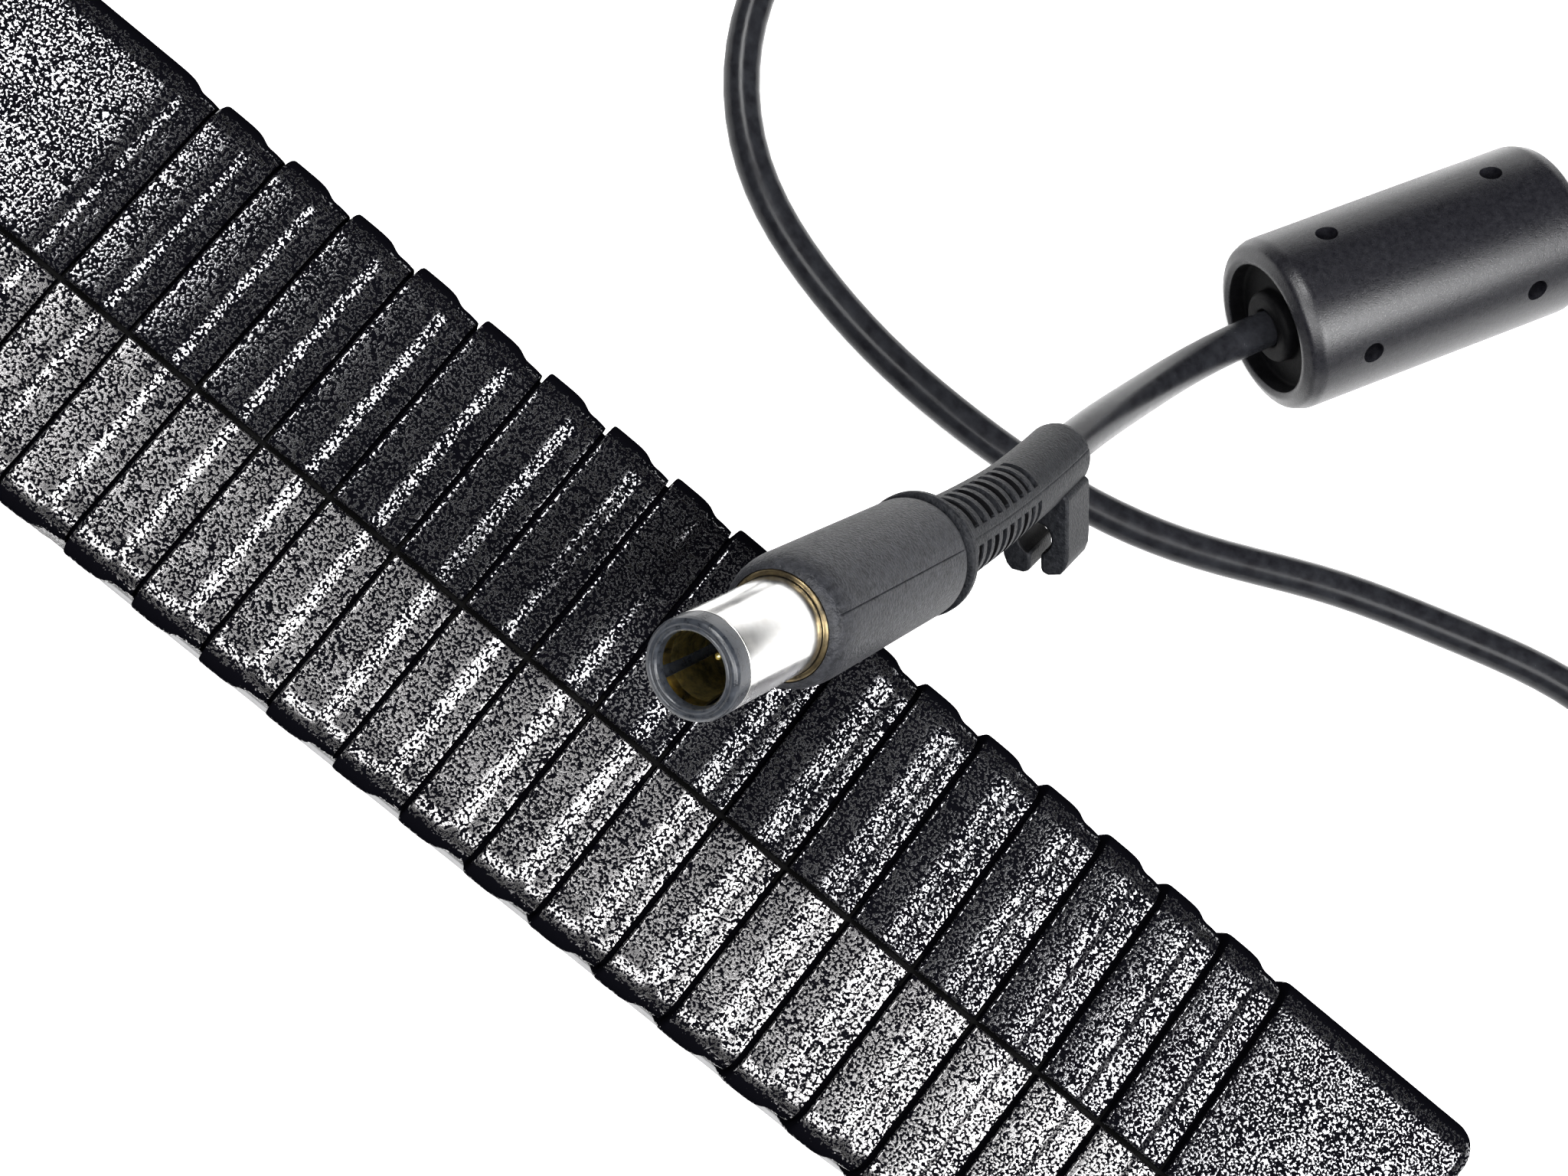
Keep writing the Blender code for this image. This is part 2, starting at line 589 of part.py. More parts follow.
def gland():
    """Flanges on both sides of the end wall, then a tapered, grooved sleeve."""
    wall_in, wall_out = HALF_LENGTH - WALL - GAP, HALF_LENGTH + GAP
    profile = [(0.0, wall_in - 1.8), (5.2, wall_in - 1.8), (5.2, wall_in), (3.6, wall_in),
               (3.6, wall_out), (4.8, wall_out), (4.8, wall_out + 1.3), (4.0, wall_out + 1.8)]
    start, grooves = wall_out + 4.0, 6
    pitch = (GLAND_TIP - 2.5 - start) / grooves
    for i in range(grooves):
        x = start + i * pitch
        r = 3.95 - 0.16 * i
        profile += [(r, x), (r - 0.6, x + 0.25), (r - 0.6, x + 1.1), (r - 0.06, x + 1.35)]
    profile += [(2.7, GLAND_TIP - 0.6), (2.3, GLAND_TIP), (0.0, GLAND_TIP)]
    thing = turned("dc_gland", list(reversed(profile)), SOFT_PLASTIC, segments=16)
    aim(thing, (0.0, PARTING_Y, MID_Z), (1, 0, 0))


def ferrite_axis():
    return Vector((math.cos(FERRITE_HEADING), math.sin(FERRITE_HEADING), 0.0))


def lead():
    out = (GLAND_TIP + GAP, PARTING_Y, MID_Z)
    tube("cord_to_coil", [out] + smooth_route(ROUTE_TO_COIL, CORD_STEP), CORD_RADIUS, CORD_JACKET)
    half = FERRITE_LENGTH / 2
    through = [tuple(FERRITE_CENTRE + ferrite_axis() * d) for d in (half + 6, half + 1, 0, -half - 1)]
    tail_gap = TAIL + (TAIL - relief_point(0.9)).normalized() * GAP
    route = ROUTE_TO_PLUG + through + ROUTE_PAST_FERRITE + [tuple(tail_gap)]
    tube("cord_to_plug", smooth_route(route, 7.0), CORD_RADIUS, CORD_JACKET)


def coil():
    middle = (COIL_INNER + COIL_OUTER) / 2
    r = 2.2
    profile = [(COIL_OUTER - r, COIL_TOP), (COIL_OUTER, COIL_TOP - r), (COIL_OUTER, COIL_BOTTOM + r),
               (COIL_OUTER - r, COIL_BOTTOM), (COIL_INNER + r, COIL_BOTTOM),
               (COIL_INNER, COIL_BOTTOM + r), (COIL_INNER, COIL_TOP - r), (COIL_INNER + r, COIL_TOP)]
    aim(turned("cord_coil", profile, CORD_JACKET, closed=True, segments=32), COIL_CENTRE, (0, 0, 1))
    in_low, in_high = COIL_INNER - 1.2, COIL_OUTER + 0.4
    low, high = COIL_BOTTOM - GAP, COIL_TOP + GAP
    t = TIE_THICKNESS
    band = box("coil_tie", (in_low - t, in_high + t), (-TIE_WIDTH / 2, TIE_WIDTH / 2),
               (low - t, high + t), STRAP)
    hole = as_cutter(box("tie_hole", (in_low, in_high), (-TIE_WIDTH, TIE_WIDTH), (low, high),
                         None, CUTTERS))
    for piece in (band, hole):
        offset = Matrix.Translation(Vector((0.0, 0.0, piece.location.z)))
        turn = Matrix.Rotation(TIE_ANGLE, 4, "Z")
        out = Matrix.Translation(Vector((middle, 0.0, 0.0)) * MM)
        shift = Matrix.Translation(Vector((piece.location.x - middle * MM, 0.0, 0.0)))
        piece.matrix_world = Matrix.Translation(COIL_CENTRE * MM) @ turn @ out @ shift @ offset
    combine(band, hole, "DIFFERENCE")


def ferrite():
    half, core = FERRITE_LENGTH / 2, CORE_LENGTH / 2
    outer, room = FERRITE_RADIUS, CORE_RADIUS + GAP
    rim, boss = 6.4, 3.7
    recess = half - 1.9
    upper = [(CORD_BORE, half - 0.3), (boss - 0.4, half - 0.3), (boss, half - 0.7), (boss, recess),
             (rim, recess), (rim, half - 0.2), (rim + 0.4, half), (outer - 1.3, half),
             (outer - 0.4, half - 0.4), (outer, half - 1.5)]
    lower = [(r, -z) for r, z in reversed(upper)]
    inside = [(CORD_BORE, -core - GAP), (room, -core - GAP), (room, core + GAP), (CORD_BORE, core + GAP)]
    cover = turned("ferrite_cover", upper + lower + inside, SOFT_PLASTIC, closed=True)
    aim(cover, FERRITE_CENTRE, ferrite_axis())
    ring = [(CORD_BORE + 0.2, core), (CORE_RADIUS, core), (CORE_RADIUS, -core), (CORD_BORE + 0.2, -core)]
    aim(turned("ferrite_core", ring, FERRITE_CERAMIC, closed=True), FERRITE_CENTRE, ferrite_axis())
    side = ferrite_axis().cross(Vector((0, 0, 1)))
    for along in (-9.2, 9.2):
        for turn in (45, 135, 225, 315):
            out = side * math.cos(math.radians(turn)) + Vector((0, 0, 1)) * math.sin(math.radians(turn))
            middle = FERRITE_CENTRE + ferrite_axis() * along
            pit = as_cutter(rod(f"locating_hole_{turn}_{along:.0f}".replace("-", "m"),
                                middle + out * (room - 0.6), middle + out * (outer + 2),
                                HOLE_RADIUS, None, CUTTERS, segments=12))
            combine(cover, pit, "DIFFERENCE")


# ---------------------------------------------------------------- plug

def plug_direction():
    """From the plug's lead end to its tip."""
    flat = math.sin(PLUG_LEAN)
    return Vector((-flat * math.cos(PLUG_HEADING), -flat * math.sin(PLUG_HEADING), math.cos(PLUG_LEAN)))


def plug_matrix():
    turn = plug_direction().to_track_quat("Z", "Y").to_matrix().to_4x4()
    return Matrix.Translation(PLUG_TIP) @ turn @ Matrix.Rotation(PLUG_ROLL, 4, "Z")


def plug_frame():
    """An empty at the tip's centre whose +Z points out of the plug."""
    frame = bpy.data.objects.new("plug_frame", None)
    PARTS.objects.link(frame)
    place, turn, _ = plug_matrix().decompose()
    frame.location = place * MM
    frame.rotation_mode = "QUATERNION"
    frame.rotation_quaternion = turn
    return frame


def plug_head():
    frame = plug_frame()
    r, e = BARREL_RADIUS, BARREL_REACH
    barrel = turned("plug_barrel", [(r - 0.3, -1.9), (r, -1.9), (r, -e - 3.6), (r - 0.3, -e - 3.6)],
                    NICKEL, closed=True)
    liner = turned("plug_liner", [(2.8, 0.0), (r - 0.4, 0.0), (r - 0.12, -0.12), (r, -0.4), (r, -1.6),
                                  (r - 0.5, -1.6), (r - 0.5, -e - 3.4), (r - 0.75, -e - 3.4),
                                  (r - 0.75, -1.3), (2.55, -1.0), (2.55, -0.25)],
                   BLACK_PLASTIC, closed=True)
    contact = turned("plug_contact_sleeve", [(2.55, -1.9), (2.75, -1.9), (2.75, -e - 1.6), (2.55, -e - 1.6)],
                     BRASS, closed=True)
    for i, turn in enumerate((0.0, 90.0)):
        slit = as_cutter(box(f"contact_slit_{i}", (-1.3, 1.3), (-4.0, 4.0), (-9.0, 0.0), None, CUTTERS))
        slit.rotation_euler = (0.0, 0.0, math.radians(turn))
        slit.parent = frame
        combine(contact, slit, "DIFFERENCE")
    base = turned("plug_pin_base", [(0.6, -e - 1.9), (2.75, -e - 1.9), (2.75, -e - 3.4), (0.6, -e - 3.4)],
                  BLACK_PLASTIC, closed=True)
    pin = turned("plug_centre_pin", [(0.0, -3.2), (0.25, -3.4), (0.38, -4.0), (0.38, -e - 3.2),
                                     (0.0, -e - 3.2)], BRASS, segments=12)
    ring = turned("plug_base_ring", [(r + 0.2, -e + 0.1), (r + 0.6, -e + 0.1), (r + 0.6, -e - 0.6),
                                     (r + 0.2, -e - 0.6)], BRASS, closed=True)
    seat = -e - 0.9
    grip = turned("plug_grip", [(0.0, -e - 3.9), (r + 0.2, -e - 3.9), (r + 0.2, seat), (r + 0.8, seat),
                                (r + 0.8, -e + 0.05), (4.6, -e - 0.1), (4.72, -e - 0.5), (4.8, -e - 1.2),
                                (4.82, -e - 3.0), (4.65, -GRIP_END + 1.0), (4.5, -GRIP_END + 0.3),
                                (4.3, -GRIP_END), (0.0, -GRIP_END)], SOFT_PLASTIC)
    for piece in (barrel, liner, contact, base, pin, ring, grip):
        piece.parent = frame


def relief_point(t):
    """A point on the strain relief's gently bent centre line, from collar (0) to tail (1)."""
    start = PLUG_TIP - plug_direction() * RELIEF_START
    knee = start - plug_direction() * (TAIL - start).length / 2
    return start * (1 - t) ** 2 + knee * 2 * t * (1 - t) + TAIL * t * t


def relief_axis(t):
    return (relief_point(min(1.0, t + 0.01)) - relief_point(max(0.0, t - 0.01))).normalized()


def strain_relief():
    """Collar, tapered neck with a row of slots on each side of two plain rails, end boss."""
    length = (TAIL - relief_point(0.0)).length
    neck, narrow = 3.55, 2.95
    rings = [(0.0, 4.5, 0.0), (0.15, 4.8, 0.0), (0.85, 4.8, 0.0), (1.0, 4.6, 0.0), (1.05, neck, 0.0)]
    first = 2.2
    taper = (neck - narrow) / (first + SLOT_COUNT * SLOT_PITCH)
    for i in range(SLOT_COUNT):
        s = first + i * SLOT_PITCH
        r = neck - taper * s
        rings += [(s, r, 0.0), (s + SLOT_WIDTH / 2, r, SLOT_DEPTH), (s + SLOT_WIDTH, r, 0.0)]
    after = first + SLOT_COUNT * SLOT_PITCH
    rings += [(after + 0.6, narrow, 0.0), (length - 1.0, BOSS_RADIUS, 0.0),
              (length - 0.3, BOSS_RADIUS - 0.35, 0.0), (length, BOSS_RADIUS - 0.8, 0.0)]
    rail = plug_matrix().to_3x3() @ Vector((1, 0, 0))
    sections = []
    for s, radius, cut in rings:
        t = s / length
        axis = relief_axis(t)
        u = (rail - axis * rail.dot(axis)).normalized()
        v = axis.cross(u)
        points = []
        for k in range(20):
            a = 2 * math.pi * k / 20
            r = radius - (cut if 0.25 < abs(math.sin(a)) < 0.96 else 0.0)
            points.append(relief_point(t) + (u * math.cos(a) + v * math.sin(a)) * r)
        sections.append(points)
    smooth(loft("strain_relief", sections, SOFT_PLASTIC))


def cable_clip():
    """A C-shaped hook hanging from a cradle under the boss."""
    half, lip, mouth, tip = 2.9, 1.75, 1.2, 8.6
    hollow, depth = 1.9, 5.9
    side = [(half + 0.05, 2.6), (half, 4.6), (half, 7.2), (half - 0.6, 8.4), (lip, tip), (mouth, 8.1)]
    turn = math.degrees(math.acos(mouth / hollow))
    outline = arc(0, 0, BOSS_RADIUS + GAP, 38, 142, 8)
    outline += [(-x, y) for x, y in side]
    outline += arc(0, depth, hollow, 180 - turn, 360 + turn, 14)
    outline += side[::-1]
    clip = flat_outline("cable_clip", outline, CLIP_LENGTH, SOFT_PLASTIC)
    seat = 0.87
    axis = relief_axis(seat)
    hang = (CLIP_HANGS - axis * CLIP_HANGS.dot(axis)).normalized()
    across = hang.cross(axis)
    turn = Matrix((across, hang, axis)).transposed().to_4x4()
    clip.matrix_world = Matrix.Translation(relief_point(seat) * MM) @ turn
    bevel(clip, 0.25, 1)


shells()
inlet()
board_stack()
mains_side()
choke()
power_stage()
transformer()
output_leads()
gland()
lead()
coil()
ferrite()
plug_head()
strain_relief()
cable_clip()
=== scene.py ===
import json
import math

import bmesh
import bpy
import numpy as np
from mathutils import Matrix, Vector


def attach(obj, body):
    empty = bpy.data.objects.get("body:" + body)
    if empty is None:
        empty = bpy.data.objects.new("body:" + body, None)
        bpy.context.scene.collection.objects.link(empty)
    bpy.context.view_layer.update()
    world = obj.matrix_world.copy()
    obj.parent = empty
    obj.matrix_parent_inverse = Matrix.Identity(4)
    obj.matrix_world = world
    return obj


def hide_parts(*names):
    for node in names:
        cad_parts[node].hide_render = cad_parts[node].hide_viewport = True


# A laptop power adapter standing on its long side, with its lead, ferrite and barrel plug.
# Lengths below are in millimetres, and MM turns them into the frame's metres.
MM = 0.001

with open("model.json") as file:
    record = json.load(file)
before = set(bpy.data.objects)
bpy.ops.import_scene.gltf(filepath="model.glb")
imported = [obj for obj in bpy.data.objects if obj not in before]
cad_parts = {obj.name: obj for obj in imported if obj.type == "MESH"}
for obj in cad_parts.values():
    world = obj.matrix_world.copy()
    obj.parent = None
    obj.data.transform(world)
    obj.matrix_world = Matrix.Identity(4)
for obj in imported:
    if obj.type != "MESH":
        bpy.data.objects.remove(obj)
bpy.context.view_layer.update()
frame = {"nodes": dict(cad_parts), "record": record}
NODES = frame["nodes"]

# Sizes shared with the part, in millimetres
HALF_LENGTH = 71.0
HALF_THICKNESS = 16.1
WIDTH = 52.0
MID_Z = 26.0
PARTING_Y = -1.5
RIB_PITCH = 6.0
RIB_COUNT = 17
RIB_START = -51.0
GROOVE_MIDDLE = 0.035        # as a share of a rib's pitch
CORD_RADIUS = 1.8
FLOOR_HEIGHT = 1.85          # the lead's middle where it lies on the floor
GLAND_TIP = 95.0
PLUG_TIP = Vector((-0.81, 2.1, 73.16))
PLUG_HEADING = math.radians(65.2)
PLUG_LEAN = math.radians(46.2)
PLUG_ROLL = math.radians(75.7)
TAIL = Vector((15.4, 42.5, 31.3))        # where the lead leaves the strain relief
RELIEF_START = 31.1          # behind the tip, along the plug
GRIP_END = 30.8
BOSS_RADIUS = 2.9
CLIP_HANGS = Vector((0.664, -0.58, -0.471))
FERRITE_CENTRE = Vector((34.9, 86.5, 8.8))
FERRITE_HEADING = math.radians(60.2)
FERRITE_HALF = 16.0
FERRITE_RADIUS = 8.7
COIL_CENTRE = Vector((-60.0, 94.0, 0.0))
TIE_ANGLE = math.radians(150.0)


# ---------------------------------------------------------------- camera

def camera():
    """Close above the case's ribbed side, turned so that the case runs corner to corner."""
    data = bpy.data.cameras.new("camera")
    data.lens = 52.73
    data.sensor_width = 36.0
    data.clip_start = 0.005
    data.clip_end = 20.0
    cam = bpy.data.objects.new("camera", data)
    bpy.context.scene.collection.objects.link(cam)
    right = Vector((0.7683, 0.6128, 0.1874)).normalized()
    ahead = Vector((0.0854, 0.1922, -0.9776)).normalized()
    up = right.cross(ahead).normalized()
    turn = Matrix((right, up, -ahead)).transposed().to_4x4()
    cam.matrix_world = Matrix.Translation(Vector((-11.87, -17.99, 215.78)) * MM) @ turn
    bpy.context.scene.camera = cam


camera()


# ---------------------------------------------------------------- materials

class Shader:
    """A small helper for building a Principled material's nodes."""

    def __init__(self, name, color, roughness, metallic=0.0, **sockets):
        self.paint = bpy.data.materials.new(name)
        self.paint.use_nodes = True
        self.nodes = self.paint.node_tree.nodes
        self.links = self.paint.node_tree.links
        self.bsdf = self.nodes["Principled BSDF"]
        self.bsdf.inputs["Base Color"].default_value = (*color, 1.0)
        self.bsdf.inputs["Roughness"].default_value = roughness
        self.bsdf.inputs["Metallic"].default_value = metallic
        for key, value in sockets.items():
            self.bsdf.inputs[key.replace("_", " ")].default_value = value
        self.height = None

    def node(self, kind, **values):
        made = self.nodes.new(kind)
        for key, value in values.items():
            setattr(made, key, value)
        return made

    def link(self, out, into):
        self.links.new(out, into)
        return self

    def place(self, scale=(1.0, 1.0, 1.0), turn=(0.0, 0.0, 0.0)):
        """Object coordinates in millimetres, stretched and turned."""
        where = self.node("ShaderNodeTexCoord")
        mapping = self.node("ShaderNodeMapping")
        mapping.inputs["Scale"].default_value = [1000.0 * s for s in scale]
        mapping.inputs["Rotation"].default_value = turn
        self.link(where.outputs["Object"], mapping.inputs["Vector"])
        return mapping.outputs["Vector"]

    def noise(self, size, detail=3.0, rough=0.55, vector=None):
        """Soft noise whose patches are about size millimetres across."""
        made = self.node("ShaderNodeTexNoise")
        made.inputs["Scale"].default_value = 1.0 / size
        made.inputs["Detail"].default_value = detail
        made.inputs["Roughness"].default_value = rough
        self.link(vector or self.place(), made.inputs["Vector"])
        return made.outputs["Fac"]

    def cells(self, size):
        made = self.node("ShaderNodeTexVoronoi")
        made.inputs["Scale"].default_value = 1.0 / size
        self.link(self.place(), made.inputs["Vector"])
        return made.outputs["Distance"]

    def ramp(self, value, stops):
        """The value through two stops of (place, grey level or colour)."""
        made = self.node("ShaderNodeValToRGB")
        for element, (at, color) in zip(made.color_ramp.elements, stops):
            element.position = at
            if not hasattr(color, "__len__"):
                color = (color, color, color)
            element.color = (*color, 1.0)
        self.link(value, made.inputs["Fac"])
        return made.outputs["Color"]

    def mix(self, first, second, amount):
        made = self.node("ShaderNodeMix", data_type="RGBA")
        self.link(amount, made.inputs[0])
        for value, socket in ((first, made.inputs[6]), (second, made.inputs[7])):
            if hasattr(value, "is_output"):
                self.link(value, socket)
            else:
                socket.default_value = (*value, 1.0)
        return made.outputs[2]

    def math(self, operation, first, second=0.0):
        made = self.node("ShaderNodeMath", operation=operation)
        for value, socket in ((first, made.inputs[0]), (second, made.inputs[1])):
            if hasattr(value, "is_output"):
                self.link(value, socket)
            else:
                socket.default_value = value
        return made.outputs[0]

    def span(self, value, low, high, start=0.0, end=1.0):
        """The value's place from low to high as a smooth step from start to end."""
        made = self.node("ShaderNodeMapRange", interpolation_type="SMOOTHSTEP")
        limits = {"From Min": low, "From Max": high, "To Min": start, "To Max": end}
        for key, number in limits.items():
            made.inputs[key].default_value = number
        self.link(value, made.inputs["Value"])
        return made.outputs["Result"]

    def color(self, value):
        return self.link(value, self.bsdf.inputs["Base Color"])

    def roughness(self, value):
        return self.link(value, self.bsdf.inputs["Roughness"])

    def bump(self, value, depth, strength=1.0):
        """Raise the surface by value times depth millimetres."""
        made = self.node("ShaderNodeBump")
        made.inputs["Strength"].default_value = strength
        made.inputs["Distance"].default_value = depth * MM
        self.link(value, made.inputs["Height"])
        if self.height:
            self.link(self.height, made.inputs["Normal"])
        self.height = made.outputs["Normal"]
        return self.link(self.height, self.bsdf.inputs["Normal"])


def grained_case(name, dark, speck, cover, gloss, depth):
    """Coarse spark-eroded black plastic: dull pits between sharp high spots that catch the
    light. The grain has to rise past cover to be a high spot. The rounded long edges and the
    grooves between the ribs get no high spots, as painted shade that keeps them black."""
    s = Shader(name, dark, gloss, Specular_IOR_Level=0.0)
    pits = s.noise(0.21, 2.0, 0.5)
    fine = s.noise(0.08, 1.0, 0.5)
    broad = s.noise(4.0, 3.0, 0.6)
    grain = s.math("ADD", s.math("MULTIPLY", pits, 0.85), s.math("MULTIPLY", fine, 0.15))
    lifted = s.math("ADD", grain, s.math("MULTIPLY", s.math("SUBTRACT", broad, 0.5), 0.12))
    parts = s.node("ShaderNodeSeparateXYZ")
    s.link(s.place(), parts.inputs[0])
    along_x, along_y, along_z = parts.outputs
    off_y = s.math("ABSOLUTE", along_y)
    off_z = s.math("ABSOLUTE", s.math("SUBTRACT", along_z, MID_Z))
    # Painted shade: the rounded long edges lose their bright specks and stay black.
    edge = s.math("MULTIPLY", s.span(off_y, 14.9, 15.5), s.span(off_z, 23.0, 24.0))
    share = s.math("FRACT", s.math("DIVIDE", s.math("SUBTRACT", along_x, RIB_START), RIB_PITCH))
    from_groove = s.math("ABSOLUTE", s.math("SUBTRACT", share, GROOVE_MIDDLE))
    # Painted shade: the grooves between the ribs lose their bright specks and read as black lines.
    groove_shade = s.math("SUBTRACT", 1.0, s.span(from_groove, 0.026, 0.034))
    ribbed = s.span(s.math("ABSOLUTE", along_x), 51.5, 52.0, 1.0, 0.0)
    groove_shade = s.math("MULTIPLY", s.math("MULTIPLY", groove_shade, ribbed), s.span(off_z, 16.0, 20.0))
    # smooth is the painted shade of the edges and grooves; it pulls the grain below cover there.
    smooth = s.math("MAXIMUM", edge, groove_shade)
    height = s.math("SUBTRACT", lifted, s.math("MULTIPLY", smooth, 0.25))
    peak = s.span(height, cover, cover + 0.05)
    s.color(s.mix(dark, speck, peak))
    s.link(peak, s.bsdf.inputs["Metallic"])
    s.roughness(s.span(peak, 0.0, 1.0, 0.6, gloss))
    s.bump(grain, depth)
    return s.paint


def soft_black(name, color, pale, rough, shine=0.3, grain=0.12, depth=0.03):
    """Moulded soft plastic with a faint mottle and fine grain."""
    s = Shader(name, color, rough, Specular_IOR_Level=shine)
    mottle = s.noise(0.55, 4.0, 0.65)
    fine = s.noise(grain, 2.0, 0.6)
    s.color(s.mix(color, pale, s.ramp(mottle, [(0.35, 0.0), (0.7, 1.0)])))
    s.roughness(s.ramp(fine, [(0.3, rough - 0.06), (0.7, rough + 0.08)]))
    s.bump(fine, depth, 0.8)
    s.bump(mottle, 0.03, 0.5)
    return s.paint


def jacket():
    """Smooth extruded cable jacket with a satin sheen and faint scuffs."""
    s = Shader("cord_jacket", (0.012, 0.012, 0.014), 0.24, Specular_IOR_Level=0.16)
    scuff = s.noise(1.3, 4.0, 0.6)
    fine = s.noise(0.09, 2.0, 0.5)
    s.color(s.ramp(scuff, [(0.3, (0.006, 0.006, 0.0075)), (0.75, (0.016, 0.017, 0.02))]))
    s.roughness(s.ramp(scuff, [(0.3, 0.19), (0.75, 0.28)]))
    s.bump(fine, 0.012, 0.7)
    return s.paint


def metal(name, color, rough, brushed=0.0, tarnish=None):
    """Metal with fine lines along its length and, on plating, patches of tarnish."""
    s = Shader(name, color, rough, 1.0)
    long = s.noise(0.08, 2.0, 0.5, s.place((1.0, 1.0, 0.06)))
    wide = s.noise(1.2, 4.0, 0.6)
    if tarnish:
        s.color(s.mix(color, tarnish, s.ramp(wide, [(0.42, 0.0), (0.66, 1.0)])))
    s.roughness(s.ramp(wide, [(0.3, rough - 0.03), (0.75, rough + 0.07)]))
    s.bump(long, 0.004 + 0.02 * brushed, 0.6)
    return s.paint


def simple(name, color, other, rough, size=1.0, **sockets):
    """A plain piece with some colour variation and a fine texture."""
    s = Shader(name, color, rough, **sockets)
    patch = s.noise(size, 4.0, 0.6)
    fine = s.noise(0.12, 2.0, 0.5)
    s.color(s.mix(color, other, s.ramp(patch, [(0.35, 0.0), (0.7, 1.0)])))
    s.roughness(s.ramp(patch, [(0.3, rough - 0.06), (0.7, rough + 0.08)]))
    s.bump(fine, 0.02, 0.7)
    return s.paint


def wound(name, color, dark, turn):
    """Enamelled wire laid side by side."""
    s = Shader(name, color, 0.3, 0.9)
    wave = s.node("ShaderNodeTexWave", wave_type="BANDS", bands_direction=turn)
    wave.inputs["Scale"].default_value = 0.6
    wave.inputs["Distortion"].default_value = 0.5
    s.link(s.place(), wave.inputs["Vector"])
    s.color(s.ramp(wave.outputs["Fac"], [(0.0, dark), (0.4, color)]))
    s.bump(wave.outputs["Fac"], 0.15)
    return s.paint


def board():
    """Green lacquer over a woven laminate."""
    green = (0.02, 0.13, 0.04)
    s = Shader("board_laminate", green, 0.35)
    weave = s.node("ShaderNodeTexBrick")
    weave.inputs["Scale"].default_value = 1.0
    weave.inputs["Color1"].default_value = (*green, 1.0)
    weave.inputs["Color2"].default_value = (0.03, 0.17, 0.06, 1.0)
    weave.inputs["Mortar"].default_value = (0.015, 0.09, 0.03, 1.0)
    s.link(s.place((0.7, 0.7, 0.7), (math.pi / 2, 0.0, 0.0)), weave.inputs["Vector"])
    s.color(weave.outputs["Color"])
    s.bump(s.noise(0.3), 0.02, 0.6)
    return s.paint


def woven():
    """Hook-and-loop strap: a fuzzy close weave."""
    s = Shader("tie_strap", (0.012, 0.012, 0.013), 0.9, Sheen_Weight=0.5, Sheen_Roughness=0.4)
    loops = s.cells(0.45)
    fuzz = s.noise(0.15, 3.0, 0.7)
    s.color(s.ramp(loops, [(0.0, (0.03, 0.03, 0.032)), (0.6, (0.006, 0.006, 0.007))]))
    s.bump(loops, 0.3)
    s.bump(fuzz, 0.12, 0.8)
    return s.paint


PIT = (0.002, 0.002, 0.003)
# Both halves are one plastic in two copies: the upper half's dimmer, sparser specks are painted
# shade and the lower half's brighter, denser specks are painted light.
CASE_UPPER_SHADED = grained_case("case_plastic_upper_shaded", PIT, (0.175, 0.175, 0.183), 0.525, 0.16, 0.02)
CASE_LOWER_LIT = grained_case("case_plastic_lower_lit", PIT, (0.27, 0.265, 0.268), 0.495, 0.25, 0.02)
SOFT = soft_black("soft_overmould", (0.004, 0.0045, 0.0065), (0.024, 0.025, 0.03), 0.5,
                  grain=0.22, depth=0.12)
RELIEF_SKIN = soft_black("relief_plastic", (0.003, 0.0035, 0.005), (0.015, 0.016, 0.019), 0.5,
                         shine=0.16, grain=0.22, depth=0.12)
# Painted shade: a near-black, barely shiny copy of the soft plastic for recesses, slots and
# hollows.
RECESS_SHADE = soft_black("recess_painted_shade", (0.001, 0.001, 0.0015), (0.003, 0.003, 0.0035), 0.6,
                    shine=0.08)
FERRITE_SKIN = soft_black("ferrite_skin", (0.004, 0.004, 0.006), (0.012, 0.012, 0.015), 0.3,
                          shine=0.4)
JACKET = jacket()
LINER = simple("liner_plastic", (0.012, 0.014, 0.018), (0.03, 0.034, 0.042), 0.3, size=0.5)
INLET_PLASTIC = simple("inlet_plastic", (0.012, 0.012, 0.013), (0.024, 0.024, 0.026), 0.4)
NICKEL = metal("nickel", (0.93, 0.925, 0.91), 0.2, tarnish=(0.88, 0.865, 0.835))
BRASS = metal("brass", (0.72, 0.55, 0.27), 0.32, tarnish=(0.42, 0.33, 0.2))
GOLD = metal("gold_plate", (0.7, 0.6, 0.28), 0.3, tarnish=(0.16, 0.14, 0.06))
# Painted highlight: a brighter, glossier copy of the gold for the fingers' front faces.
GOLD_EDGE_LIT = metal("gold_edge_lit", (0.95, 0.86, 0.55), 0.14)
AGED_BRASS = metal("aged_brass", (0.2, 0.155, 0.085), 0.36, tarnish=(0.03, 0.026, 0.02))
TIE = woven()
DARK = simple("shadow_plastic", (0.001, 0.001, 0.001), (0.002, 0.002, 0.002), 0.9,
              Specular_IOR_Level=0.1)

